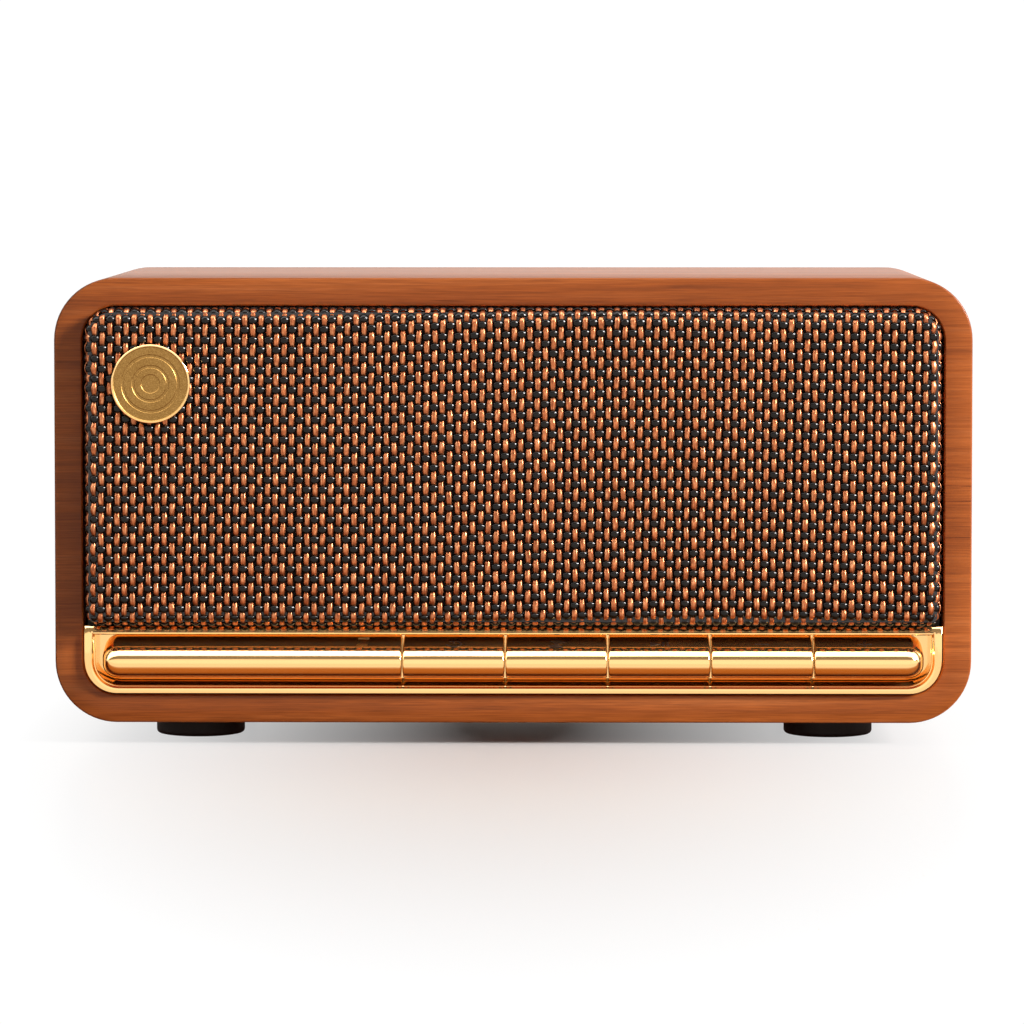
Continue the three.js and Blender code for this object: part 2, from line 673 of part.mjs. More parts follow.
// ---------------------------------------------------------------- assembly

makeSleeve();
makeFeet();
makeRearPanel();
makeRearScrews();
makeRadiator();
makeGrille();
makeBadge();
makeBaffle();
makeBezel();
makeKeys();
makeFixedBar();
makePivotRod();
makeSwitches();
makeDriver('left', -driverX);
makeDriver('right', driverX);
makeBattery();
makeMainBoard();
makeWiring();

export default model;
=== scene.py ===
"""Tabletop radio: wooden sleeve, woven grille, gilt key strip, badge and rear panel.

Run as a script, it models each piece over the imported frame, gives every piece its finish,
and sets the stage. Metres throughout, +Z up, and the front faces -Y.
"""
import json
import math
import random

import bmesh
import bpy
from bpy.props import FloatProperty, FloatVectorProperty, IntProperty, PointerProperty
from mathutils import Matrix, Vector


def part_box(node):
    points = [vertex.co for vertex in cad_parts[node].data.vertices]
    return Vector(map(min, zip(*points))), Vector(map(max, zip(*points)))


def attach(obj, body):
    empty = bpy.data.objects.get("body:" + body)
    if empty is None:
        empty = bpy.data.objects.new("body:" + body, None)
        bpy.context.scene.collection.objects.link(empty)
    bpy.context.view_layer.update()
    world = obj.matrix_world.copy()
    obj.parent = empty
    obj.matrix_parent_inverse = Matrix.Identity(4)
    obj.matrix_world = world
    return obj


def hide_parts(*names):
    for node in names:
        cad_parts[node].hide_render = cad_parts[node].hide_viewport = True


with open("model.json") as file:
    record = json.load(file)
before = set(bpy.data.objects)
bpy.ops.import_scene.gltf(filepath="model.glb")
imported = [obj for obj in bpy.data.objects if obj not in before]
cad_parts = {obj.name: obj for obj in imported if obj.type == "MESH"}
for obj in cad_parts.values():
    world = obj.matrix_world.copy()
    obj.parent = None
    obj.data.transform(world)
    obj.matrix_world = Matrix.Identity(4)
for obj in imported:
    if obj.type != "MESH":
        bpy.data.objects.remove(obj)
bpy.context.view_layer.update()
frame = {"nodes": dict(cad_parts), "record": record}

bl_info = {
    "name": "Tabletop radio",
    "version": (1, 0, 0),
    "blender": (4, 5, 0),
    "location": "View3D > Sidebar > Radio",
    "description": "Models a wooden tabletop radio piece by piece",
    "category": "Object",
}

MM = 0.001
NODES = frame["nodes"]
KEYS = ("power_key", "source_key", "play_key", "volume_down_key", "volume_up_key")
# Every finish by its slot's name; main() fills it.
FINISHES = {}


# ------------------------------------------------------------------ colour and node helpers


def linear(value):
    """A six-figure sRGB hex colour as a linear RGBA tuple."""
    channels = [int(value[i:i + 2], 16) / 255 for i in (0, 2, 4)]
    return tuple(
        c / 12.92 if c <= 0.04045 else ((c + 0.055) / 1.055) ** 2.4 for c in channels
    ) + (1.0,)


def node(tree, kind, settings=None, values=None, links=None):
    """Adds a node, sets its properties and socket values, and links what feeds it."""
    made = tree.nodes.new("ShaderNode" + kind)
    for key, value in (settings or {}).items():
        setattr(made, key, value)
    for key, value in (values or {}).items():
        made.inputs[key].default_value = value
    for key, source in (links or {}).items():
        tree.links.new(source, made.inputs[key])
    return made


def surface(name, **values):
    """A new material, its node tree and its Principled shader, with the sockets given."""
    material = bpy.data.materials.new(name)
    material.use_nodes = True
    tree = material.node_tree
    tree.nodes.clear()
    sockets = {key.replace("_", " ").title(): value for key, value in values.items()}
    sockets = {key.replace("Ior", "IOR"): value for key, value in sockets.items()}
    shader = node(tree, "BsdfPrincipled", values=sockets)
    node(tree, "OutputMaterial", links={"Surface": shader.outputs["BSDF"]})
    return material, tree, shader


def pattern(tree, source, scale, detail=3.0, roughness=0.5, distortion=0.0):
    """A noise pattern; scale is repeats per metre along each axis of the source socket."""
    placed = node(tree, "Mapping", values={"Scale": scale}, links={"Vector": source})
    noise = node(tree, "TexNoise", values={
        "Scale": 1.0, "Detail": detail, "Roughness": roughness, "Distortion": distortion,
    }, links={"Vector": placed.outputs["Vector"]})
    return noise.outputs["Fac"]


def ramp(tree, source, *stops):
    """A colour ramp over source; each stop is (place, colour), as hex or linear numbers."""
    made = node(tree, "ValToRGB", links={"Fac": source})
    elements = made.color_ramp.elements
    first, *middle, last = [
        (place, linear(colour) if isinstance(colour, str) else tuple(colour) + (1.0,))
        for place, colour in stops]
    elements[0].position, elements[0].color = first
    elements[1].position, elements[1].color = last
    for place, colour in middle:
        elements.new(place).color = colour
    return made.outputs["Color"]


def blend(tree, mode, amount, first, second):
    """Mixes two colour sockets; amount is a number or a socket."""
    made = node(tree, "Mix", {"data_type": "RGBA", "blend_type": mode})
    if isinstance(amount, float):
        made.inputs[0].default_value = amount
    else:
        tree.links.new(amount, made.inputs[0])
    tree.links.new(first, made.inputs[6])
    tree.links.new(second, made.inputs[7])
    return made.outputs[2]


def spread(tree, source, low, high, start=0.3, end=0.7):
    """A pattern's values from start to end as numbers from low to high."""
    made = node(tree, "MapRange", values={
        "From Min": start, "From Max": end, "To Min": low, "To Max": high,
    }, links={"Value": source})
    return made.outputs["Result"]


def bump(tree, shader, height, depth_mm, strength=1.0):
    """Raises the shader's normal by a height pattern of that depth in millimetres."""
    made = node(tree, "Bump", values={"Strength": strength, "Distance": depth_mm * MM},
                links={"Height": height})
    tree.links.new(made.outputs["Normal"], shader.inputs["Normal"])


def where(tree, kind="Object"):
    """The space a pattern lies in: the piece's own, or UV for a surface that is unrolled."""
    return node(tree, "TexCoord").outputs[kind]


def paint(tree, shader, colour, roughness=None):
    """Links a colour, and a roughness if there is one, into the shader."""
    tree.links.new(colour, shader.inputs["Base Color"])
    if roughness:
        tree.links.new(roughness, shader.inputs["Roughness"])


def grit(size_mm):
    """A noise scale, the same along each axis, for grains of that size."""
    return (1 / (size_mm * MM),) * 3


# ------------------------------------------------------------------ finishes


def make_wood(look):
    """Oiled veneer: fine fibres along the grain, darker bands and a few short dark streaks,
    under a thin oil finish that turns pale at a glancing angle."""
    material, tree, shader = surface("oiled_veneer", roughness=0.34, ior=1.5,
                                     specular_ior_level=0.15, coat_weight=0.2,
                                     coat_roughness=0.16, coat_ior=1.45)
    uv = where(tree, "UV")
    fibre = pattern(tree, uv, (110, 3600, 1), 4, 0.62)
    band = pattern(tree, uv, (14, 520, 1), 3, 0.55, 0.4)
    wide = pattern(tree, uv, (9, 90, 1), 2, 0.5, 0.3)
    streak = pattern(tree, uv, (42, 900, 1), 2, 0.45)
    colour = ramp(tree, band, (0.25, look.wood_dark), (0.5, look.wood_mid),
                  (0.78, look.wood_light))
    fine = ramp(tree, fibre, (0.3, "b8b0a8"), (0.62, "ffffff"))
    colour = blend(tree, "MULTIPLY", 0.75, colour, fine)
    broad = ramp(tree, wide, (0.3, "cfc3b8"), (0.7, "ffffff"))
    colour = blend(tree, "MULTIPLY", 0.8, colour, broad)
    dark = ramp(tree, streak, (0.69, "ffffff"), (0.78, "7a5540"))
    colour = blend(tree, "MULTIPLY", 0.9, colour, dark)
    paint(tree, shader, colour, spread(tree, fibre, 0.30, 0.46))
    bump(tree, shader, fibre, 0.02, 0.5)
    return material


def make_gilt(look):
    """Bright gold electroplate on moulded plastic: a mirror with a faint orange peel."""
    material, tree, shader = surface(
        "gold_electroplate", base_color=tuple(look.gilt_colour) + (1.0,), metallic=0.97,
        roughness=0.1)
    place = where(tree)
    peel = pattern(tree, place, grit(1.6), 1, 0.4)
    film = pattern(tree, place, grit(9.0), 3, 0.6)
    tree.links.new(spread(tree, film, 0.07, 0.13), shader.inputs["Roughness"])
    bump(tree, shader, peel, 0.012, 0.25)
    return material


def make_satin_gilt():
    """Bead-blasted brass-coloured plate: a soft sheen with a fine sparkle."""
    material, tree, shader = surface(
        "bead_blasted_gold", metallic=1.0, roughness=0.34)
    place = where(tree)
    beads = pattern(tree, place, grit(0.16), 2, 0.6)
    cloud = pattern(tree, place, grit(5.0), 2, 0.5)
    colour = ramp(tree, beads, (0.25, "7a5c33"), (0.5, "99753f"), (0.8, "bd9860"))
    tone = ramp(tree, cloud, (0.3, "e6ded4"), (0.7, "ffffff"))
    paint(tree, shader, blend(tree, "MULTIPLY", 0.6, colour, tone))
    tree.links.new(spread(tree, beads, 0.28, 0.44), shader.inputs["Roughness"])
    bump(tree, shader, beads, 0.02, 0.45)
    return material


def make_copper_yarn():
    """Metallised polyester tape: fine parallel filaments with a bright satin sheen."""
    material, tree, shader = surface("metallised_tape", metallic=0.75, roughness=0.3, ior=1.6)
    uv = where(tree, "UV")
    filament = pattern(tree, uv, (9, 0.9, 1), 2, 0.6)
    mottle = pattern(tree, uv, (1.1, 1.6, 1), 3, 0.6)
    colour = ramp(tree, filament, (0.3, "9a4d2a"), (0.52, "d8804e"), (0.75, "fbb988"))
    tone = ramp(tree, mottle, (0.3, "a89c94"), (0.65, "ffffff"))
    paint(tree, shader, blend(tree, "MULTIPLY", 0.8, colour, tone))
    bump(tree, shader, filament, 0.05, 0.6)
    return material


def make_black_yarn():
    """Twisted glossy black thread: tight slanting plies that catch a thin bright line."""
    material, tree, shader = surface("glossy_black_thread", roughness=0.2, ior=1.55,
                                     specular_ior_level=0.22)
    uv = where(tree, "UV")
    twist = node(tree, "Mapping", values={"Rotation": (0, 0, 0.6), "Scale": (1.4, 7.0, 1)},
                 links={"Vector": uv})
    ply = node(tree, "TexNoise", values={"Scale": 1.0, "Detail": 2.0},
               links={"Vector": twist.outputs["Vector"]}).outputs["Fac"]
    paint(tree, shader, ramp(tree, ply, (0.35, "050303"), (0.7, "120b09")))
    bump(tree, shader, ply, 0.04, 0.5)
    return material


def make_shade_sheet():
    """A dark sheet under the weave, seen only through its gaps: painted shade for the dark inside
    behind the cloth.
    """
    material, tree, shader = surface("dark_backing_cloth", roughness=0.95, ior=1.4)
    place = where(tree)
    thread = pattern(tree, place, grit(0.4), 2, 0.6)
    # Painted shade: near black, for the dark inside seen through the weave's gaps.
    paint(tree, shader, ramp(tree, thread, (0.3, "0c0706"), (0.7, "1e120e")))
    bump(tree, shader, thread, 0.05, 0.5)
    return material


def make_moulded(name, dark, light, roughness, grain_mm, depth_mm, ior=1.53, **more):
    """A moulded or coated surface: two close tones and a grain of a real size."""
    material, tree, shader = surface(name, roughness=roughness, ior=ior, **more)
    place = where(tree)
    grain = pattern(tree, place, grit(grain_mm), 3, 0.6)
    cloud = pattern(tree, place, grit(12.0), 2, 0.5)
    colour = ramp(tree, grain, (0.3, dark), (0.7, light))
    tone = ramp(tree, cloud, (0.3, "dcdcdc"), (0.7, "ffffff"))
    paint(tree, shader, blend(tree, "MULTIPLY", 0.5, colour, tone),
          spread(tree, cloud, roughness - 0.05, roughness + 0.06))
    bump(tree, shader, grain, depth_mm, 0.5)
    return material


def make_metal(name, dark, light, roughness, grain, depth_mm):
    """Bare or plated metal; grain is repeats per metre along each axis, as its tooling left it."""
    material, tree, shader = surface(name, metallic=1.0, roughness=roughness)
    place = where(tree)
    lines = pattern(tree, place, grain, 3, 0.6)
    paint(tree, shader, ramp(tree, lines, (0.3, dark), (0.7, light)),
          spread(tree, lines, roughness - 0.06, roughness + 0.08))
    bump(tree, shader, lines, depth_mm, 0.4)
    return material


def make_lens():
    """Clear moulded light guide, slightly milky from the diffuser behind it."""
    material, tree, shader = surface("clear_polycarbonate", roughness=0.12, ior=1.585,
                                     transmission_weight=0.35)
    place = where(tree)
    haze = pattern(tree, place, grit(0.5), 2, 0.5)
    paint(tree, shader, ramp(tree, haze, (0.3, "e9e6df"), (0.7, "fbfaf6")))
    return material


def make_finishes(look):
    """Every finish by the record's slot name."""
    return {
        "oiled_wood": make_wood(look),
        "bright_gilt": make_gilt(look),
        "satin_gilt": make_satin_gilt(),
        "woven_cloth": make_shade_sheet(),
        "clear_lens": make_lens(),
        # Elastomer disc: dark brown, matte, slightly dusty.
        "foot_rubber": make_moulded("elastomer", "120a07", "1f120d", 0.6, 0.5, 0.02, 1.52),
        # ABS from a spark-eroded mould: black with an even fine texture.
        "black_abs": make_moulded("moulded_abs", "101012", "1c1c1f", 0.46, 0.35, 0.03),
        # Butyl rubber roll: black, smooth and dull.
        "black_rubber": make_moulded("butyl_rubber", "0c0c0d", "161617", 0.55, 0.8, 0.01),
        # Solder mask over copper: glossy green with the weave of the glass cloth under it.
        "circuit_board": make_moulded("solder_mask", "123a22", "1f5b37", 0.32, 0.8, 0.01),
        # Moulded nylon: plain mid grey.
        "grey_plastic": make_moulded("moulded_nylon", "7e8084", "96989c", 0.5, 0.4, 0.01),
        # Sintered ferrite: charcoal grey and dull, with a ground grain.
        "magnet_ferrite": make_moulded("sintered_ferrite", "1c1d20", "303136", 0.7, 0.3, 0.02),
        # Pressed pulp: black felted fibres.
        "cone_paper": make_moulded("pressed_pulp", "0e0e10", "26262a", 0.9, 0.6, 0.06, 1.45),
        # Resin-dipped cotton: amber and stiff.
        "spider_cloth": make_moulded("resin_dipped_cotton", "8a6a34", "c9a35e", 0.8, 0.5, 0.08),
        # PVC shrink sleeve: smooth blue with a soft gloss.
        "cell_wrap": make_moulded("pvc_shrink_sleeve", "245c93", "3474b4", 0.3, 1.5, 0.01),
        # PVC insulation: red, a little waxy.
        "red_cable": make_moulded("pvc_insulation", "7d1a18", "a32b28", 0.45, 0.6, 0.01),
        # Pressed bright steel: fine drawn lines.
        "bright_steel": make_metal("pressed_steel", "8b8d91", "b9bbbf", 0.28,
                                   (4000, 60, 4000), 0.004),
        # Zinc-plated steel: cool grey with a fine bright grain.
        "zinc_plate": make_metal("zinc_plate", "74777c", "a9acb1", 0.32, grit(0.5), 0.01),
        # Enamelled copper wire: close-wound turns.
        "coil_copper": make_metal("enamelled_copper", "8e4f2a", "c9824f", 0.3,
                                  (300, 8000, 300), 0.03),
    }


def make_ink():
    """Pad-printed ink: flat dark brown, thin and slightly rough."""
    return make_moulded("pad_printing_ink", "1f0e06", "33190c", 0.5, 0.3, 0.004, 1.5)


# ------------------------------------------------------------------ modelling helpers


def deselect():
    """Leaves edit mode and selects nothing."""
    if bpy.context.object and bpy.context.object.mode != "OBJECT":
        bpy.ops.object.mode_set(mode="OBJECT")
    for obj in bpy.context.selected_objects:
        obj.select_set(False)


def start(name, kind, **settings):
    """Adds a primitive of that kind with nothing else selected."""
    deselect()
    getattr(bpy.ops.mesh, f"primitive_{kind}_add")(**settings)
    obj = bpy.context.object
    obj.name = obj.data.name = name
    return obj


def block(name, low, high):
    """A cube primitive from its lowest to its highest corner, in millimetres."""
    size = [(b - a) * MM for a, b in zip(low, high)]
    middle = [(a + b) / 2 * MM for a, b in zip(low, high)]
    obj = start(name, "cube", size=1, location=middle, scale=size)
    apply_place(obj)
    return obj


def choose(obj):
    """Selects that object alone and makes it active."""
    deselect()
    obj.select_set(True)
    bpy.context.view_layer.objects.active = obj


def apply_place(obj):
    """Puts the object's place, turn and scale into its mesh."""
    choose(obj)
    bpy.ops.object.transform_apply(location=True, rotation=True, scale=True)


def disc(name, radius, length, middle, axis, vertices):
    """A cylinder along x, y or z (0, 1 or 2), in millimetres."""
    turn = ((0, math.pi / 2, 0), (math.pi / 2, 0, 0), (0, 0, 0))[axis]
    obj = start(name, "cylinder", vertices=vertices, radius=radius * MM, depth=length * MM,
                location=Vector(middle) * MM, rotation=turn)
    apply_place(obj)
    return obj


def edit(obj):
    """Opens the object in edit mode with nothing selected."""
    choose(obj)
    bpy.ops.object.mode_set(mode="EDIT")
    bpy.ops.mesh.select_all(action="DESELECT")


def pick(obj, what, test):
    """In edit mode, selects the verts, edges or faces that pass the test."""
    kinds = ("verts", "edges", "faces")
    bpy.context.tool_settings.mesh_select_mode = tuple(what == kind for kind in kinds)
    mesh = bmesh.from_edit_mesh(obj.data)
    mesh.select_mode = {{"verts": "VERT", "edges": "EDGE", "faces": "FACE"}[what]}
    mesh.normal_update()
    chosen = [item for item in getattr(mesh, what) if test(item)]
    for kind in kinds:
        for item in getattr(mesh, kind):
            item.select = False
    for item in chosen:
        item.select_set(True)
    mesh.select_flush_mode()
    bmesh.update_edit_mesh(obj.data)
    if not chosen:
        raise RuntimeError(f"{obj.name}: no {what} to pick")


def near(a, b, tolerance_mm=0.02):
    """Whether a length in metres is that many millimetres."""
    return abs(a - b * MM) < tolerance_mm * MM


def edge_ends(edge):
    """The two corners of an edge, in millimetres."""
    return [v.co / MM for v in edge.verts]


def runs_along(edge, axis):
    """Whether an edge lies along x, y or z (0, 1 or 2)."""
    a, b = edge_ends(edge)
    return all(abs(a[i] - b[i]) < 0.01 for i in range(3) if i != axis)


def lies_at(edge, axis, place):
    """Whether both ends of an edge have that x, y or z (0, 1 or 2), in millimetres."""
    return all(near(v.co[axis], place) for v in edge.verts)


def bevel(width_mm, segments):
    """Rounds the picked edges."""
    bpy.ops.mesh.bevel(offset=width_mm * MM, offset_type="OFFSET", segments=segments,
                       profile=0.5, affect="EDGES", clamp_overlap=True)


def inset(thickness_mm, depth_mm=0):
    """Insets the picked faces, then moves them out by the depth."""
    bpy.ops.mesh.inset(thickness=thickness_mm * MM, depth=depth_mm * MM)


def shift(x=0.0, y=0.0, z=0.0):
    """Moves what is picked, in millimetres."""
    bpy.ops.transform.translate(value=(x * MM, y * MM, z * MM))


def eased_block(name, low, high, width_mm, segments):
    """A block with all its edges rounded."""
    obj = block(name, low, high)
    edit(obj)
    pick(obj, "edges", lambda e: True)
    bevel(width_mm, segments)
    deselect()
    return obj


def sharp(edge, degrees=50):
    """Whether an edge's faces meet at more than that angle."""
    return len(edge.link_faces) == 2 and edge.calc_face_angle(0) > math.radians(degrees)


def close(obj, degrees=32):
    """Leaves edit mode and shades the piece smooth, up to that angle."""
    choose(obj)
    bpy.ops.object.shade_smooth_by_angle(angle=math.radians(degrees))


def flatten(obj):
    """Lets the large flat faces set the shading, so that none looks curved at its rounded edges."""
    modifier = obj.modifiers.new("even", "WEIGHTED_NORMAL")
    modifier.keep_sharp = True
    bpy.ops.object.modifier_apply(modifier="even")


def use(obj, body, slot, *replaced, material=None):
    """Gives the piece its body and its slot's finish, and hides the CAD nodes it stands for."""
    obj.data.materials.clear()
    obj.data.materials.append(material or FINISHES[slot])
    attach(obj, body)
    if replaced:
        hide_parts(*replaced)


def finish(obj, body, slot, *nodes, degrees=32):
    """Shades the piece smooth up to that angle, then does what use does."""
    close(obj, degrees)
    use(obj, body, slot, *nodes)


def join(first, *others):
    """Joins the others into the first."""
    deselect()
    for obj in (first, *others):
        obj.select_set(True)
    bpy.context.view_layer.objects.active = first
    bpy.ops.object.join()
    return first


def copy(obj, name, move_mm):
    """A copy with its own mesh, moved that far."""
    twin = obj.copy()
    twin.data = obj.data.copy()
    twin.name = twin.data.name = name
    bpy.context.scene.collection.objects.link(twin)
    twin.data.transform(Matrix.Translation(Vector(move_mm) * MM))
    return twin


def cut(obj, tool):
    """Cuts the tool's shape out of the piece and removes the tool."""
    choose(obj)
    modifier = obj.modifiers.new("cut", "BOOLEAN")
    modifier.operation = "DIFFERENCE"
    modifier.solver = "EXACT"
    modifier.object = tool
    bpy.ops.object.modifier_apply(modifier="cut")
    bpy.data.objects.remove(tool)


def slot_block(name, middle, size, depths, corner):
    """A block across the back, of that width and height, with its outline's corners rounded."""
    (x, z), (wide, tall), (front, back) = middle, size, depths
    obj = block(name, (x - wide / 2, front, z - tall / 2), (x + wide / 2, back, z + tall / 2))
    edit(obj)
    pick(obj, "edges", lambda e: runs_along(e, 1))
    bevel(corner, 14)
    deselect()
    return obj


def low_high(name):
    """A CAD node's lowest and highest corners, in millimetres."""
    low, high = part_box(name)
    return Vector(low) / MM, Vector(high) / MM


# ------------------------------------------------------------------ settings


class RadioLook(bpy.types.PropertyGroup):
    """Colours a user would change."""

    wood_dark: FloatVectorProperty(
        name="Wood, dark bands", description="Colour of the veneer's dark bands",
        subtype="COLOR", size=3, default=linear("9a4f22")[:3])
    wood_mid: FloatVectorProperty(
        name="Wood", description="The veneer's main colour",
        subtype="COLOR", size=3, default=linear("bb6329")[:3])
    wood_light: FloatVectorProperty(
        name="Wood, light bands", description="Colour of the veneer's light bands",
        subtype="COLOR", size=3, default=linear("c8723a")[:3])
    gilt_colour: FloatVectorProperty(
        name="Gilt", description="Colour of the plated strip and keys",
        subtype="COLOR", size=3, default=linear("f8cc8c")[:3])


class RadioSizes(bpy.types.PropertyGroup):
    """Sizes of the fine detail, in metres."""

    sleeve_edge: FloatProperty(
        name="Sleeve edge", description="Radius of the wooden sleeve's eased edges",
        default=0.35 * MM, unit="LENGTH")
    warp_pitch: FloatProperty(
        name="Tape pitch", description="Distance between the upright copper tapes",
        default=1.40 * MM, unit="LENGTH")
    weft_pitch: FloatProperty(
        name="Thread pitch", description="Distance between the level black threads",
        default=1.78 * MM, unit="LENGTH")
    warp_width: FloatProperty(
        name="Tape width", description="Width of one copper tape",
        default=1.08 * MM, unit="LENGTH")
    weft_height: FloatProperty(
        name="Thread height", description="Height of one black thread",
        default=1.3 * MM, unit="LENGTH")
    key_edge: FloatProperty(
        name="Key edge", description="Radius of the keys' end edges",
        default=0.3 * MM, unit="LENGTH")
    badge_rings: IntProperty(
        name="Badge rings", description="Number of rings turned into the badge",
        default=2, min=0, max=5)


# ------------------------------------------------------------------ pieces


SLEEVE_CORNER = 11
SLEEVE_WALL = 5
# A glue block in each corner: how far it reaches in, its height and its length.
GLUE_BLOCK = (11, 11.4, 14)
GLUE_BLOCK_BEHIND = 3.8


def unrolled(x, z, low, high, radius):
    """Distance round the sleeve's outline from the middle of its top, in millimetres."""
    side = abs(x)
    straight = high.x - radius
    top, bottom = high.z - radius, low.z + radius
    if z >= top:
        turn = math.atan2(max(side - straight, 0), max(z - top, 1e-6))
        path = min(side, straight) + radius * turn
    elif z > bottom:
        path = straight + radius * math.pi / 2 + top - z
    else:
        turn = math.atan2(max(bottom - z, 0), max(side - straight, 1e-6))
        path = straight + radius * math.pi / 2 + top - bottom + radius * turn
        path += max(straight - side, 0)
    return math.copysign(path, x)


class RADIO_OT_sleeve(bpy.types.Operator):
    """Models the wooden sleeve with its rounded corners and glue blocks"""

    bl_idname = "radio.sleeve"
    bl_label = "Sleeve"

    def execute(self, context):
        low, high = low_high("cabinet_shell")
        sleeve = block("sleeve", low, high)
        edit(sleeve)
        pick(sleeve, "edges", lambda e: runs_along(e, 1))
        bevel(SLEEVE_CORNER, 16)
        pick(sleeve, "faces", lambda f: abs(f.normal.y) > 0.9)
        bpy.ops.mesh.inset(thickness=SLEEVE_WALL * MM, depth=0, use_individual=True)
        inner = high.x - SLEEVE_WALL
        pick(sleeve, "faces", lambda f: abs(f.normal.y) > 0.9 and all(
            abs(v.co.x / MM) < inner + 0.1 for v in f.verts) and len(f.verts) > 8)
        bpy.ops.mesh.bridge_edge_loops()
        pick(sleeve, "edges", sharp)
        bevel(context.scene.radio_sizes.sleeve_edge / MM, 3)
        deselect()
        reach, height, length = GLUE_BLOCK
        sink = 0.4
        front, back = high.y - GLUE_BLOCK_BEHIND - length, high.y - GLUE_BLOCK_BEHIND
        low_base = low.z + SLEEVE_WALL - sink
        high_base = high.z - SLEEVE_WALL + sink - height
        blocks = []
        for side in (-1, 1):
            left, right = sorted((side * (inner + sink), side * (inner - reach)))
            blocks += [eased_block("glue_block", (left, front, base),
                                   (right, back, base + height), 0.4, 1)
                       for base in (low_base, high_base)]
        join(sleeve, *blocks)
        self.lay_veneer(sleeve, low, high)
        finish(sleeve, "cabinet", "oiled_wood", "cabinet_shell")
        return {"FINISHED"}

    def lay_veneer(self, sleeve, low, high):
        """Unrolls the veneer: round the sleeve outside, and level across the front ring."""
        mesh = sleeve.data
        layer = mesh.uv_layers.get("UVMap") or mesh.uv_layers.new(name="UVMap")
        for polygon in mesh.polygons:
            flat = abs(polygon.normal.y) > 0.72
            for loop in polygon.loop_indices:
                place = mesh.vertices[mesh.loops[loop].vertex_index].co / MM
                if flat:
                    spot = (place.x, place.z + 300 + math.copysign(40, place.y))
                else:
                    spot = (unrolled(place.x, place.z, low, high, SLEEVE_CORNER), place.y)
                layer.data[loop].uv = (spot[0] * MM, spot[1] * MM)


class RADIO_OT_feet(bpy.types.Operator):
    """Models the four disc feet"""

    bl_idname = "radio.feet"
    bl_label = "Feet"

    def execute(self, context):
        first = None
        for name in ("foot_front_left", "foot_front_right", "foot_rear_left", "foot_rear_right"):
            low, high = low_high(name)
            middle = (low + high) / 2
            if first is None:
                foot = disc(name + "_pad", (high.x - low.x) / 2, high.z - low.z, middle, 2, 72)
                edit(foot)
                pick(foot, "edges", lambda e: lies_at(e, 2, low.z))
                bevel(0.7, 4)
                pick(foot, "faces", lambda f: f.normal.z < -0.9 and len(f.verts) > 20)
                inset(0.9)
                inset(0.25, -0.25)
                close(foot)
                first, base = foot, middle
            else:
                foot = copy(first, name + "_pad", middle - base)
            use(foot, "cabinet", "foot_rubber", name)
        return {"FINISHED"}


# The stretched cloth in millimetres: the rounding over the frame's edge, how far it wraps on
# back, how far it lies inside its CAD block, and its corners.
CLOTH_EDGE = 2.0
CLOTH_WRAP = 2.5
CLOTH_INSET = 0.45
CLOTH_TOP_CORNER = 4.6
CLOTH_BOTTOM_CORNER = 1.5
# The weave: how far a strand rises and falls, how far the tapes lean over, the steps along
# a strand per crossing, and the sections: across and out as shares of the width for a tape,
# and of the height and thickness for a thread.
RELIEF = 0.27
TAPE_LEAN = 0.010
STEPS = 4
TAPE_SECTION = ((-0.5, -0.05), (-0.24, 0.085), (0.24, 0.085), (0.5, -0.05), (0, -0.09))
THREAD_SECTION = tuple((math.sin(math.radians(a)) / 2, math.cos(math.radians(a)))
                       for a in (-82, -42, 0, 42, 82, 180))
# A thread's thickness, and what it gains where it passes over a tape.
THREAD_THICK = 0.12
# How far behind the weave the dark sheet of painted shade lies, and its cells across and up.
SHEET_LIFT = -0.33
SHEET_CELLS = (160, 64)


class ClothForm:
    """The surface of the stretched cloth: flat in front, rounded over the frame's edge."""

    def __init__(self):
        low, high = low_high("grille_cloth")
        self.middle = (low + high) / 2
        self.half_x = (high.x - low.x) / 2 - CLOTH_INSET - CLOTH_EDGE
        self.half_z = (high.z - low.z) / 2 - CLOTH_INSET - CLOTH_EDGE
        self.front = low.y + CLOTH_INSET
        self.reach = CLOTH_EDGE * math.pi / 2 + CLOTH_WRAP

    def at(self, across, up, lift):
        """The place that far across, up and in front of the middle, in millimetres."""
        corner = (CLOTH_TOP_CORNER if up > 0 else CLOTH_BOTTOM_CORNER) - CLOTH_EDGE
        corner = max(corner, 0.2)
        inside = Vector((min(max(across, corner - self.half_x), self.half_x - corner),
                         min(max(up, corner - self.half_z), self.half_z - corner)))
        away = Vector((across, up)) - inside
        distance = away.length - corner
        if distance <= 0:
            return self.lifted((across, up, 0), 0.0, Vector((0, 0)), lift)
        outward = away.normalized()
        rim = inside + outward * corner
        distance = min(distance, self.reach)
        turn = min(distance / CLOTH_EDGE, math.pi / 2)
        rest = max(distance - CLOTH_EDGE * math.pi / 2, 0)
        spot = rim + outward * CLOTH_EDGE * math.sin(turn)
        back = CLOTH_EDGE * (1 - math.cos(turn)) + rest
        return self.lifted((spot.x, spot.y, back), turn, outward, lift)

    def lifted(self, spot, turn, outward, lift):
        """The place moved out along the surface's normal."""
        side, fore = math.sin(turn) * lift, math.cos(turn) * lift
        return Vector((self.middle.x + spot[0] + outward.x * side,
                       self.front + spot[2] - fore,
                       self.middle.z + spot[1] + outward.y * side)) * MM


def swing(phase):
    """A strand's height through the weave, from 1 over to -1 under, held flat at its tops."""
    wave = math.cos(phase)
    return math.copysign(abs(wave) ** 0.72, wave)


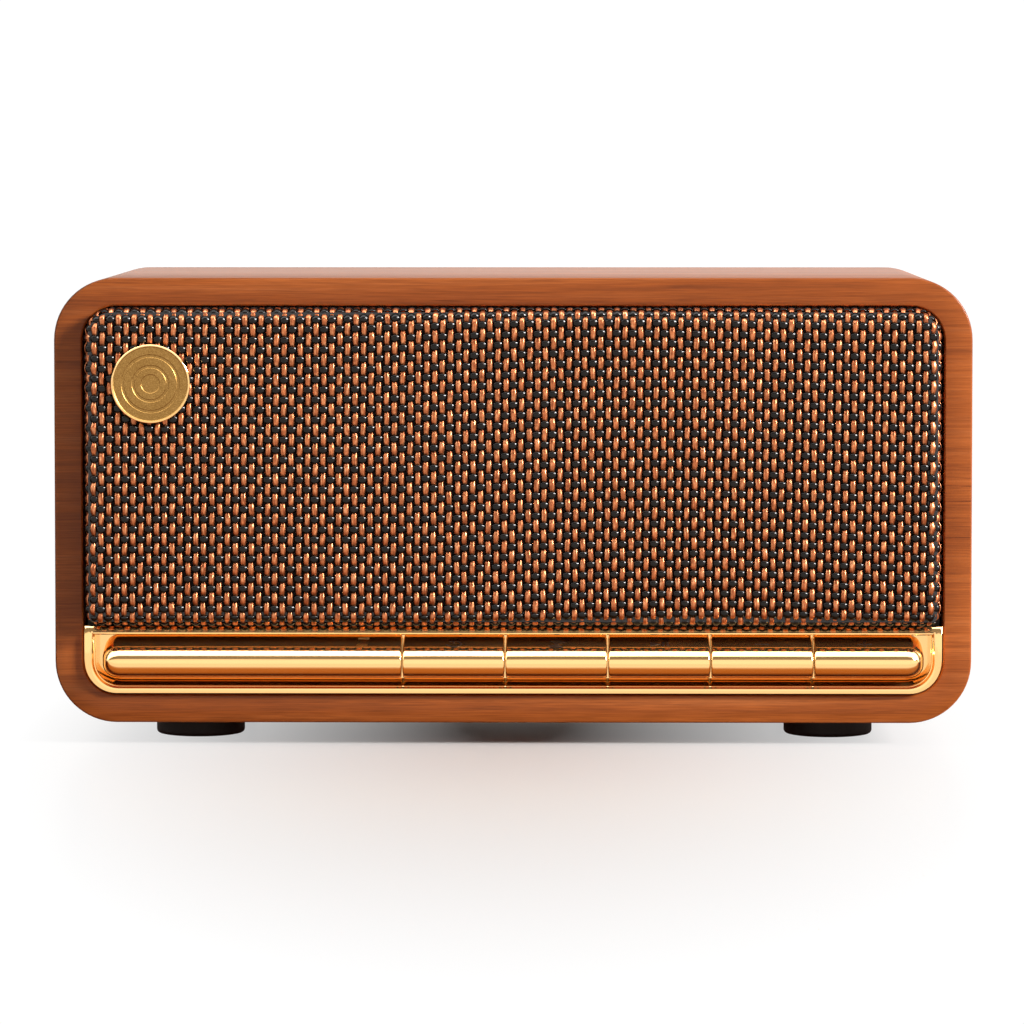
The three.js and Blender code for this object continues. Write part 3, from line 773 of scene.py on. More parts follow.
def strand(vertices, faces, coordinates, path, section, tag):
    """Adds one strand: section's points carried along path, closed at both ends."""
    first, count = len(vertices), len(section)
    for place, _ in path:
        for point in section:
            vertices.append(place(point))
    for i in range(len(path) - 1):
        for j in range(count):
            k = (j + 1) % count
            a, b = first + i * count, first + (i + 1) * count
            faces.append((a + j, a + k, b + k, b + j))
            left, right = tag + j / count, tag + (j + 1) / count
            start_at, end_at = path[i][1], path[i + 1][1]
            coordinates.extend([(left, start_at), (right, start_at),
                                (right, end_at), (left, end_at)])
    ends = (first, first + (len(path) - 1) * count)
    faces.append(tuple(ends[0] + j for j in reversed(range(count))))
    faces.append(tuple(ends[1] + j for j in range(count)))
    coordinates.extend([(tag, 0.0)] * (2 * count))


def smooth_mesh(name, vertices, faces):
    """A smooth-shaded mesh object from its points and faces."""
    mesh = bpy.data.meshes.new(name)
    mesh.from_pydata(vertices, [], faces)
    mesh.polygons.foreach_set("use_smooth", [True] * len(mesh.polygons))
    obj = bpy.data.objects.new(name, mesh)
    bpy.context.scene.collection.objects.link(obj)
    return obj


def woven(name, vertices, faces, coordinates):
    """A mesh object from the strands, with each one unrolled for its finish."""
    obj = smooth_mesh(name, vertices, faces)
    layer = obj.data.uv_layers.new(name="UVMap")
    layer.data.foreach_set("uv", [value for pair in coordinates for value in pair])
    obj.data.update()
    return obj


class RADIO_OT_grille(bpy.types.Operator):
    """Weaves the cloth over its frame: a dark sheet of painted shade behind, copper tapes and black
    threads
    """

    bl_idname = "radio.grille"
    bl_label = "Grille cloth"

    def execute(self, context):
        sizes = context.scene.radio_sizes
        self.form = ClothForm()
        self.warp = sizes.warp_pitch / MM
        self.weft = sizes.weft_pitch / MM
        self.wide = self.form.half_x + self.form.reach
        self.tall = self.form.half_z + self.form.reach
        self.columns = int(2 * self.wide / self.warp)
        self.rows = int(2 * self.tall / self.weft)
        self.chance = random.Random(7)
        tapes = self.make_tapes(sizes.warp_width / MM)
        threads = self.make_threads(sizes.weft_height / MM)
        sheet = self.make_sheet()
        use(tapes, "cabinet", "woven_cloth", material=make_copper_yarn())
        use(threads, "cabinet", "woven_cloth", material=make_black_yarn())
        use(sheet, "cabinet", "woven_cloth", "grille_cloth")
        return {"FINISHED"}

    def sag(self, across, up):
        """How far the rows run out of level there, in millimetres."""
        return 0.55 * math.sin(across / 34 + 0.6) + 0.25 * math.sin(across / 15 + up / 30)

    def make_tapes(self, width):
        """The upright copper tapes, flat and slightly crowned."""
        vertices, faces, coordinates = [], [], []
        for column in range(self.columns):
            base = (column + 0.5 - self.columns / 2) * self.warp
            stray = self.chance.uniform(-0.05, 0.05)
            size = width * self.chance.uniform(0.95, 1.05)
            path = []
            for i in range(self.rows * STEPS + 1):
                row = i / STEPS - 0.5
                phase = math.pi * (row + column)
                up = (row + 0.5 - self.rows / 2) * self.weft
                height = RELIEF * swing(phase) + 0.05
                sway = 0.05 * math.sin(2.1 * row + column * 1.7)
                middle = base + stray + sway + TAPE_LEAN * up
                level = up + self.sag(middle, up)
                thin = size * (1 - 0.22 * (1 - swing(phase)) / 2)

                def place(point, middle=middle, level=level, height=height, thin=thin):
                    return self.form.at(middle + point[0] * thin, level, height + point[1])

                path.append((place, row))
            strand(vertices, faces, coordinates, path, TAPE_SECTION, column * 3.7)
        return woven("grille_tapes", vertices, faces, coordinates)

    def make_threads(self, height):
        """The level black threads, full and round where they pass over a tape."""
        vertices, faces, coordinates = [], [], []
        for row in range(self.rows):
            base = (row + 0.5 - self.rows / 2) * self.weft
            stray = self.chance.uniform(-0.04, 0.04)
            path = []
            for i in range(self.columns * STEPS + 1):
                column = i / STEPS - 0.5
                phase = math.pi * (row + column)
                across = (column + 0.5 - self.columns / 2) * self.warp
                lift = -(RELIEF + 0.02) * swing(phase)
                over = (1 - swing(phase)) / 2
                thick = THREAD_THICK + THREAD_THICK * over
                tall = height * (0.5 + 0.5 * over)
                up = base + stray
                level = up + self.sag(across, up)
                middle = across + TAPE_LEAN * up

                def place(point, middle=middle, level=level, lift=lift, thick=thick, tall=tall):
                    return self.form.at(middle, level - point[0] * tall, lift + point[1] * thick)

                path.append((place, column))
            strand(vertices, faces, coordinates, path, THREAD_SECTION, row * 2.3)
        return woven("grille_threads", vertices, faces, coordinates)

    def make_sheet(self):
        """The dark sheet under the weave, painted shade seen through its gaps, wrapped round the
        frame with it.
        """
        count_x, count_z = SHEET_CELLS
        vertices = [
            self.form.at(self.wide * (2 * i / count_x - 1), self.tall * (2 * j / count_z - 1),
                         SHEET_LIFT)
            for j in range(count_z + 1) for i in range(count_x + 1)]
        across = count_x + 1
        corners = [j * across + i for j in range(count_z) for i in range(count_x)]
        faces = [(c, c + 1, c + across + 1, c + across) for c in corners]
        return smooth_mesh("grille_sheet", vertices, faces)


# The badge in millimetres: its rounded edge, its polished border, and the grooves between
# its rings, which slope down on both sides.
BADGE_EDGE = 0.5
BADGE_POLISHED = 0.36
BADGE_GROOVE = 0.38
BADGE_GROOVE_SLOPE = 0.1
BADGE_GROOVE_DEPTH = 0.09


class RADIO_OT_badge(bpy.types.Operator):
    """Turns the round badge: polished rim, satin face, rings and a centre dot"""

    bl_idname = "radio.badge"
    bl_label = "Badge"

    def execute(self, context):
        low, high = low_high("badge")
        middle = (low + high) / 2
        radius = (high.x - low.x) / 2
        badge = disc("badge_disc", radius, high.y - low.y, middle, 1, 96)
        edit(badge)
        pick(badge, "edges", lambda e: lies_at(e, 1, low.y))
        bevel(0.22, 4)
        pick(badge, "faces", lambda f: f.normal.y < -0.9 and len(f.verts) > 20)
        inset(0.12)
        inset(0.16, -0.12)
        rings = context.scene.radio_sizes.badge_rings
        spacing = (radius - BADGE_EDGE) / (rings + 1.4)
        slope, depth = BADGE_GROOVE_SLOPE, BADGE_GROOVE_DEPTH
        for _ in range(rings):
            inset(spacing - BADGE_GROOVE - 2.4 * slope)
            inset(slope, -depth)
            inset(BADGE_GROOVE)
            inset(slope, depth)
        inset(spacing * 0.55)
        inset(slope, -depth)
        finish(badge, "cabinet", "satin_gilt", "badge", degrees=20)
        badge.data.materials.append(FINISHES["bright_gilt"])
        for face in badge.data.polygons:
            away = math.hypot(face.center.x / MM - middle.x, face.center.z / MM - middle.z)
            if away > radius - BADGE_POLISHED and len(face.vertices) < 20:
                face.material_index = 1
        return {"FINISHED"}


# The trough: how far it reaches across, its floor, its top and its depth, in millimetres.
BEZEL_CORNER = 5.75
TROUGH = (74.3, 10.7, 19.75, 4.0)
# The trough's back is this much less tall than its mouth, so its floor runs up to the back.
TROUGH_RISE = 0.9
# How far under the top the sides' own slope ends.
BEZEL_SLOPE = 1.75
# The rim from its outer edge to the trough, in millimetres: how far in, and how far forward
# of the block's front at the sides and bottom, and at the top, which slopes up and back.
RIM = ((0.0, -0.34, -0.72), (0.03, -0.09, -0.68), (0.1, -0.02, -0.6), (0.46, 0.0, -0.38),
       (0.8, -0.01, -0.16), (0.9, -0.07, -0.08), (0.97, -0.2, -0.05), (1.14, -0.46, -0.05),
       (1.19, -0.46, -0.1), (1.25, -0.5, -0.2), (1.32, -0.6, -0.34))


class RADIO_OT_bezel(bpy.types.Operator):
    """Models the gilt rim and trough that the keys sit in"""

    bl_idname = "radio.bezel"
    bl_label = "Key bezel"

    def execute(self, context):
        low, high = low_high("key_bezel")
        bezel = block("key_strip_bezel", low, high)
        edit(bezel)
        pick(bezel, "edges", lambda e: runs_along(e, 1) and near(e.verts[0].co.z, low.z))
        bevel(BEZEL_CORNER, 14)
        # A cut across the sides just under the top keeps the top's own slope to the mitres.
        bpy.ops.mesh.select_all(action="SELECT")
        bpy.ops.mesh.bisect(plane_co=(0, 0, (high.z - BEZEL_SLOPE) * MM), plane_no=(0, 0, 1))
        pick(bezel, "faces", lambda f: f.normal.y < -0.9)
        bpy.ops.mesh.dissolve_faces()
        pick(bezel, "faces", lambda f: f.normal.y < -0.9)
        shift(y=-RIM[0][1])
        for (a, forward_a, _), (b, forward_b, _) in zip(RIM, RIM[1:]):
            inset(b - a, forward_b - forward_a)
            self.widen(bezel, low, high, b / RIM[-1][0])
        depth = TROUGH[3] + 1.0 + RIM[-1][1]  # from the rim's last ring to the trough's back
        bpy.ops.mesh.extrude_region_move(
            TRANSFORM_OT_translate={"value": (0, depth * MM, 0)})
        bpy.ops.transform.resize(value=(1, 1, TROUGH_RISE),
                                 center_override=(0, 0, TROUGH[2] * MM))
        for inward, forward, top_forward in RIM:
            height = high.z + (TROUGH[2] - high.z) * inward / RIM[-1][0]
            pick(bezel, "verts", lambda v: near(v.co.y, low.y - forward)
                 and near(v.co.z, height))
            shift(y=forward - top_forward)
        finish(bezel, "cabinet", "bright_gilt", "key_bezel", degrees=28)
        return {"FINISHED"}

    def widen(self, bezel, low, high, share):
        """Fits the picked face to the rim's width at that share of the way in."""
        mesh = bmesh.from_edit_mesh(bezel.data)
        face = next(f for f in mesh.faces if f.select)
        span_x = [v.co.x / MM for v in face.verts]
        span_z = [v.co.z / MM for v in face.verts]
        goal_x = high.x + (TROUGH[0] - high.x) * share
        goal_low = low.z + (TROUGH[1] - low.z) * share
        goal_high = high.z + (TROUGH[2] - high.z) * share
        grow_x = goal_x / max(span_x)
        grow_z = (goal_high - goal_low) / (max(span_z) - min(span_z))
        rise = (goal_high + goal_low) / 2 - (max(span_z) + min(span_z)) / 2
        middle = (0, face.calc_center_median().y, (max(span_z) + min(span_z)) / 2 * MM)
        bpy.ops.transform.resize(value=(grow_x, 1, grow_z), center_override=middle)
        shift(z=rise)


# The key's section, as depths behind the sleeve's front and heights, in millimetres.
KEY_NOSE = -3.98
KEY_BACK = 3.6
KEY_TOP_BACK = 19.3
KEY_TOP_FRONT = 17.3
KEY_BOTTOM_BACK = 12.3
KEY_BOTTOM_FRONT = 12.2
KEY_UPPER_ROUND = 2.4
KEY_LOWER_ROUND = 2.4
LAST_KEY_MIDDLE = 9.0
# The arm behind a key: its width, its bottom and top, how far it sinks into the key, and
# the width and steps of its rounded edges. The pivot is a depth and a height.
ARM_WIDTH = 6
ARM_HEIGHTS = (15.2, 17.6)
ARM_SINK = 0.5
ARM_BACK = 17
ARM_EDGE = (0.25, 2)
PIVOT = (18, 16.4)
BOSS_RADIUS = 2.4
BOSS_WALL = 1.25


def sleeve_front():
    """The depth of the sleeve's front, in millimetres."""
    return low_high("cabinet_shell")[0].y


def key_top(y):
    """The height of the keys' sloping top at that depth, in millimetres."""
    slope = (KEY_TOP_BACK - KEY_TOP_FRONT) / (KEY_BACK - KEY_NOSE)
    return KEY_TOP_FRONT + (y - sleeve_front() - KEY_NOSE) * slope


def key_block(name, x0, x1):
    """A key's body before its edges are rounded: a block with a sloping top."""
    front = sleeve_front()
    obj = block(name, (x0, front + KEY_NOSE, KEY_BOTTOM_FRONT),
                (x1, front + KEY_BACK, KEY_TOP_BACK))
    edit(obj)
    nose = front + KEY_NOSE
    pick(obj, "verts", lambda v: near(v.co.y, nose) and near(v.co.z, KEY_TOP_BACK))
    shift(z=KEY_TOP_FRONT - KEY_TOP_BACK)
    pick(obj, "verts", lambda v: not near(v.co.y, nose) and near(v.co.z, KEY_BOTTOM_FRONT))
    shift(z=KEY_BOTTOM_BACK - KEY_BOTTOM_FRONT)
    return obj


def round_nose(obj, round_side=0):
    """Rounds the nose above and below, and on round to the end that has a rounded corner."""
    def edge_of(up):
        def test(edge):
            normals = [f.normal for f in edge.link_faces]
            flat = [n for n in normals if n.z * up > 0.9]
            other = [n for n in normals if n.z * up <= 0.9]
            if len(flat) != 1 or other[0].y > 0.9:
                return False
            return abs(other[0].x) < 0.99 or other[0].x * round_side > 0
        return test

    pick(obj, "edges", edge_of(1))
    bevel(KEY_UPPER_ROUND, 10)
    pick(obj, "edges", edge_of(-1))
    bevel(KEY_LOWER_ROUND, 12)


def end_loop(side):
    """A test for the edges round an end face that points to that side."""
    def test(edge):
        flat = [abs(f.normal.x - side) < 0.01 for f in edge.link_faces]
        return any(flat) and not all(flat)
    return test


def key_middle(name):
    """Where a key's symbol and arm sit; the last key is longer, so they aren't at its middle."""
    low, high = low_high(name)
    return low.x + LAST_KEY_MIDDLE if name == KEYS[-1] else (low.x + high.x) / 2


class RADIO_OT_keys(bpy.types.Operator):
    """Models the five press keys"""

    bl_idname = "radio.keys"
    bl_label = "Keys"

    def execute(self, context):
        edge = context.scene.radio_sizes.key_edge / MM
        for number, name in enumerate(KEYS):
            low, high = low_high(name)
            key = key_block(name + "_cap", low.x, high.x)
            last = number == len(KEYS) - 1
            if last:
                round_end(key, high.x)
            round_nose(key, 1 if last else 0)
            for side in (-1, 1):
                if last and side == 1:
                    continue
                pick(key, "edges", end_loop(side))
                bevel(edge, 3)
            deselect()
            self.add_arm(key, name)
            finish(key, name, "bright_gilt", name, degrees=30)
        return {"FINISHED"}

    def add_arm(self, key, name):
        """The arm that runs back to the pivot rod, with its boss."""
        middle, front = key_middle(name), sleeve_front()
        bottom, top = ARM_HEIGHTS
        arm = eased_block("arm", (middle - ARM_WIDTH / 2, front + KEY_BACK - ARM_SINK, bottom),
                          (middle + ARM_WIDTH / 2, front + ARM_BACK, top), *ARM_EDGE)
        boss = disc("boss", BOSS_RADIUS, ARM_WIDTH, (middle, front + PIVOT[0], PIVOT[1]), 0, 40)
        edit(boss)
        pick(boss, "faces", lambda f: abs(f.normal.x) > 0.9)
        bpy.ops.mesh.inset(thickness=BOSS_WALL * MM, depth=0, use_individual=True)
        bpy.ops.mesh.bridge_edge_loops()
        join(key, arm, boss)


END_ROUND = 3.4
# The two tabs behind the fixed bar: their middles, bottom and top.
BAR_TABS = (-60, -34)
TAB_HEIGHTS = (14, 17)
# How far the light window stands proud of the bar.
WINDOW_PROUD = 0.04


def round_end(obj, x):
    """Rounds the front corner of a strip's outer end, in plan."""
    nose = sleeve_front() + KEY_NOSE
    pick(obj, "edges", lambda e: runs_along(e, 2) and near(e.verts[0].co.y, nose)
         and near(e.verts[0].co.x, x))
    bevel(END_ROUND, 12)


class RADIO_OT_bar(bpy.types.Operator):
    """Models the long fixed bar beside the keys"""

    bl_idname = "radio.bar"
    bl_label = "Fixed bar"

    def execute(self, context):
        low, high = low_high("fixed_bar")
        bar = key_block("fixed_bar_cap", low.x, high.x)
        round_end(bar, low.x)
        round_nose(bar, -1)
        pick(bar, "edges", end_loop(1))
        bevel(context.scene.radio_sizes.key_edge / MM, 3)
        deselect()
        front = sleeve_front() + KEY_BACK - ARM_SINK
        bottom, top = TAB_HEIGHTS
        join(bar, *[eased_block("tab", (middle - ARM_WIDTH / 2, front, bottom),
                                (middle + ARM_WIDTH / 2, high.y, top), *ARM_EDGE)
                    for middle in BAR_TABS])
        finish(bar, "cabinet", "bright_gilt", "fixed_bar", degrees=30)
        self.make_window()
        return {"FINISHED"}

    def make_window(self):
        """The small light window, set flush in the bar's sloping top."""
        low, high = low_high("indicator_lens")
        lens = block("indicator_window", low, high)
        edit(lens)
        for y in (low.y, high.y):
            pick(lens, "verts", lambda v: near(v.co.y, y) and near(v.co.z, high.z))
            shift(z=key_top(y) + WINDOW_PROUD - high.z)
        pick(lens, "edges", lambda e: not any(near(v.co.z, low.z) for v in e.verts))
        bevel(0.05, 2)
        finish(lens, "cabinet", "clear_lens", "indicator_lens")


ICON_DEPTH = -0.75
ICON_LINE = 0.42
ICON_RAISED = 0.03
ICON_SINK = 0.005
UPRIGHT = math.pi / 2


class RADIO_OT_icons(bpy.types.Operator):
    """Prints the plain symbols on top of the keys"""

    bl_idname = "radio.icons"
    bl_label = "Key symbols"

    def execute(self, context):
        ink = make_ink()
        draw = {"power_key": self.power, "source_key": self.source, "play_key": self.play,
                "volume_down_key": self.minus, "volume_up_key": self.plus}
        for name, shapes in draw.items():
            parts = shapes()
            symbol = join(*parts) if len(parts) > 1 else parts[0]
            symbol.name = symbol.data.name = name + "_symbol"
            self.lay(symbol, name)
            close(symbol)
            use(symbol, name, "bright_gilt", material=ink)
        return {"FINISHED"}

    def lay(self, symbol, name):
        """Moves a symbol drawn flat at the origin onto the key's sloping top."""
        slope = math.atan2(KEY_TOP_BACK - KEY_TOP_FRONT, KEY_BACK - KEY_NOSE)
        depth = sleeve_front() + ICON_DEPTH
        height = key_top(depth) + ICON_RAISED / 2 - ICON_SINK
        place = Vector((key_middle(name), depth, height)) * MM
        apply_place(symbol)
        symbol.data.transform(Matrix.Translation(place) @ Matrix.Rotation(slope, 4, "X"))

    def stroke(self, x, y, length, turn=0.0):
        """One straight stroke, centred there."""
        bar = start("stroke", "cube", size=1, location=Vector((x, y, 0)) * MM,
                    scale=Vector((length, ICON_LINE, ICON_RAISED)) * MM, rotation=(0, 0, turn))
        apply_place(bar)
        edit(bar)
        pick(bar, "edges", lambda e: runs_along(e, 2))
        bevel(ICON_LINE * 0.3, 3)
        deselect()
        return bar

    def arc(self, radius, start_degrees, end_degrees):
        """A curved stroke: a flat section spun about the centre."""
        first = math.radians(start_degrees)
        bar = start("arc", "plane", size=1, location=(0, 0, 0))
        bar.data.transform(Matrix.Diagonal((ICON_LINE * MM, ICON_RAISED * MM, 1, 1)))
        bar.data.transform(Matrix.Rotation(math.pi / 2, 4, "X"))
        bar.data.transform(Matrix.Translation((radius * MM, 0, 0)))
        bar.data.transform(Matrix.Rotation(first, 4, "Z"))
        edit(bar)
        bpy.ops.mesh.select_all(action="SELECT")
        bpy.ops.mesh.spin(steps=28, angle=math.radians(end_degrees - start_degrees),
                          center=(0, 0, 0), axis=(0, 0, 1))
        bpy.ops.mesh.select_all(action="SELECT")
        bpy.ops.mesh.normals_make_consistent(inside=False)
        deselect()
        return bar

    def power(self):
        return [self.arc(1.3, 125, 415), self.stroke(0, 0.95, 1.3, UPRIGHT)]

    def source(self):
        return [self.arc(0.28, 0, 359), self.arc(0.95, -50, 50), self.arc(0.95, 130, 230),
                self.arc(1.62, -50, 50), self.arc(1.62, 130, 230)]

    def play(self):
        wedge = start("wedge", "cylinder", vertices=3, radius=1.25 * MM,
                      depth=ICON_RAISED * MM, rotation=(0, 0, -math.pi / 2),
                      location=Vector((-0.95, 0, 0)) * MM)
        apply_place(wedge)
        return [wedge, self.stroke(0.75, 0, 2.0, UPRIGHT), self.stroke(1.55, 0, 2.0, UPRIGHT)]

    def minus(self):
        return [self.stroke(0, 0, 2.6)]

    def plus(self):
        return [self.stroke(0, 0, 2.6), self.stroke(0, 0, 2.6, UPRIGHT)]


RADIATOR_Z = 51
RADIATOR_HOLE = (78, 34)
RADIATOR_RIM = 1.2
PANEL_CORNER = 5.6
PORT_Z = 16.5
PORT_RIM = 0.7
# Each port: its place across, its cut-out's width and height, and its corner radius.
PORTS = ((-22, (10, 4.2), 1.9), (0, (6.8, 6.8), 3.38), (22, (13.2, 2.8), 0.4))
SCREWS = ("rear_screw_low_left", "rear_screw_low_right",
          "rear_screw_high_left", "rear_screw_high_right")
SCREW_HOLE = 2.8
SCREW_SEAT = (5.2, 1.25)
# A screw's head thickness, its shank's radius, and its cross recess: length, width, depth.
HEAD_THICK = 1.15
SHANK_RADIUS = 1.1
RECESS = (2.1, 0.5, 0.7)


def screw_middle(name):
    """A screw's place across and up the panel, in millimetres."""
    low, high = low_high(name)
    return (low.x + high.x) / 2, (low.z + high.z) / 2


class RADIO_OT_rear(bpy.types.Operator):
    """Models the rear panel with its cut-outs, and the four screws that hold it"""

    bl_idname = "radio.rear"
    bl_label = "Rear panel"

    def execute(self, context):
        low, high = low_high("rear_panel")
        panel = block("rear_panel_cover", low, high)
        edit(panel)
        pick(panel, "edges", lambda e: runs_along(e, 1))
        bevel(PANEL_CORNER, 10)
        pick(panel, "edges", lambda e: lies_at(e, 1, high.y))
        bevel(0.5, 3)
        deselect()

        def sink(middle, size, corner, depth=high.y - low.y + 1):
            cut(panel, slot_block("opening", middle, size, (high.y - depth, high.y + 1), corner))

        middle, (wide, tall) = (0, RADIATOR_Z), RADIATOR_HOLE
        sink(middle, RADIATOR_HOLE, tall / 2 - 0.1)
        wide, tall = wide + 2 * RADIATOR_RIM, tall + 2 * RADIATOR_RIM
        sink(middle, (wide, tall), tall / 2 - 0.1, 0.4)
        for x, (wide, tall), corner in PORTS:
            sink((x, PORT_Z), (wide, tall), corner)
            sink((x, PORT_Z), (wide + 2 * PORT_RIM, tall + 2 * PORT_RIM), corner + 0.65, 0.35)
        for name in SCREWS:
            across, depth = SCREW_SEAT
            sink(screw_middle(name), (SCREW_HOLE, SCREW_HOLE), SCREW_HOLE / 2 - 0.02)
            sink(screw_middle(name), (across, across), across / 2 - 0.02, depth)
        close(panel, 30)
        flatten(panel)
        use(panel, "cabinet", "black_abs", "rear_panel")
        for name in SCREWS:
            self.make_screw(name)
        return {"FINISHED"}

    def make_screw(self, name):
        """A pan-head screw with a cross recess."""
        low, high = low_high(name)
        x, z = screw_middle(name)
        head = disc(name + "_head", (high.x - low.x) / 2, HEAD_THICK,
                    (x, high.y - HEAD_THICK / 2, z), 1, 40)
        edit(head)
        pick(head, "edges", lambda e: lies_at(e, 1, high.y))
        bevel(0.55, 5)
        deselect()
        long, narrow, deep = RECESS
        for wide, tall in ((long, narrow), (narrow, long)):
            cut(head, block("recess", (x - wide / 2, high.y - deep, z - tall / 2),
                            (x + wide / 2, high.y + 1, z + tall / 2)))
        top = high.y - 1.0  # inside the head
        shank = disc("shank", SHANK_RADIUS, top - low.y, (x, (low.y + top) / 2, z), 1, 24)
        edit(shank)
        pick(shank, "edges", lambda e: lies_at(e, 1, low.y))
        bevel(0.7, 2)
        join(head, shank)
        finish(head, "cabinet", "zinc_plate", name, degrees=30)


# The radiator's rubber: the thickness of its flat foot, then from the outside in the widths
# of the flange, the half-round roll and the lip.
ROLL_FOOT = 1.2
FLANGE_WIDTH = 3.7
ROLL_WIDTH = 3.3
LIP_WIDTH = 1.05
ROLL_STEPS = 12


class RADIO_OT_radiator(bpy.types.Operator):
    """Models the passive radiator: its half-round rubber roll and its stepped plate"""

    bl_idname = "radio.radiator"
    bl_label = "Passive radiator"

    def execute(self, context):
        low, high = low_high("radiator_surround")
        foot = low.y + ROLL_FOOT
        roll = slot_block("radiator_roll", (0, RADIATOR_Z), (high.x - low.x, high.z - low.z),
                          (low.y, foot), (high.z - low.z) / 2 - 0.6)
        edit(roll)
        pick(roll, "faces", lambda f: f.normal.y > 0.9)
        inset(FLANGE_WIDTH)
        inward, outward = 0.0, 0.0
        for step in range(1, ROLL_STEPS + 1):
            angle = math.pi * step / ROLL_STEPS
            across = ROLL_WIDTH * (1 - math.cos(angle)) / 2
            rise = (high.y - foot) * math.sin(angle)
            inset(across - inward, rise - outward)
            inward, outward = across, rise
        inset(LIP_WIDTH)
        pick(roll, "faces", lambda f: f.normal.y < -0.9)
        inset(FLANGE_WIDTH + ROLL_WIDTH + LIP_WIDTH)
        pick(roll, "faces", lambda f: abs(f.normal.y) > 0.9 and len(f.verts) > 20)
        bpy.ops.mesh.bridge_edge_loops()
        finish(roll, "cabinet", "black_rubber", "radiator_surround", degrees=30)
        self.make_plate()
        return {"FINISHED"}

    def make_plate(self):
        """The weighted plate, with a raised border round a shallow field."""
        low, high = low_high("radiator_plate")
        plate = slot_block("radiator_mass", (0, RADIATOR_Z), (high.x - low.x, high.z - low.z),
                           (low.y, high.y), (high.z - low.z) / 2 - 0.4)
        edit(plate)
        pick(plate, "edges", lambda e: lies_at(e, 1, high.y))
        bevel(0.6, 4)
        pick(plate, "faces", lambda f: f.normal.y > 0.9 and len(f.verts) > 20)
        inset(1.4)
        inset(0.5, -0.5)
        finish(plate, "radiator_mass", "black_abs", "radiator_plate", degrees=30)


class RADIO_OT_finishes(bpy.types.Operator):
    """Gives every CAD piece that still shows its finish"""

    bl_idname = "radio.finishes"
    bl_label = "Finishes"

    def execute(self, context):
        for part in frame["record"]["subparts"]:
            shown = NODES[part["node"]]
            shown.data.materials.clear()
            shown.data.materials.append(FINISHES[part["material_slot"]])
        return {"FINISHED"}


# ------------------------------------------------------------------ stage


CAMERA_PLACE = (9.87, -935.6, 107.92)
CAMERA_PITCH = 3.0
CAMERA_YAW = 0.638
CAMERA_LENS = 178.54
CAMERA_SHIFT = -0.105
# Each softbox: its name, place, target, size in metres and power in watts.
LIGHTS = (("key_softbox", (1350, -640, 720), (0, -40, 40), (0.42, 0.42), 50),
          ("overhead_softbox", (0, -330, 860), (0, 0, 0), (1.5, 0.30), 1.5))
# How far from the middle the floor has faded to white, in metres across and to the front.
FLOOR_FADE = (0.092, 0.30)
# Painted reflection: the floor that the gilt mirrors goes from pale far off to painted shade near
# the radio, warm brown for the radio's own shadow and reflection and near black for the contact
# shadow at its front, between these depths.
FLOOR_SHADE_DEPTHS = (-0.085, -0.035)
# Painted shade: the brown and near-black stops stand for the radio's shadow on the floor, seen in
# the gilt.
FLOOR_SHADE_IN_GILT = ((0.0, "f6efe6"), (0.5, "b27440"), (0.82, "a4622f"), (0.94, "3a170a"))
# The room that the gilt mirrors, and the bright panel in it, over the angle from level
# behind (0) under the radio and round by the front (0.5) and the zenith (0.75).
PANEL = ((0.633, "000000"), (0.643, "ffffff"), (0.745, "ffffff"), (0.76, "000000"))
ROOM = ((0.0, "fbf6f0"), (0.568, "fbf6f0"), (0.582, "8c847c"), (0.633, "746e68"),
        (0.643, "ffffff"), (0.745, "ffffff"), (0.76, "746e68"), (0.9, "746e68"),
        (0.97, "f0e8e0"))
ROOM_STRENGTH = 1.45
PANEL_STRENGTH = 4.2
FILL_STRENGTH = 0.05


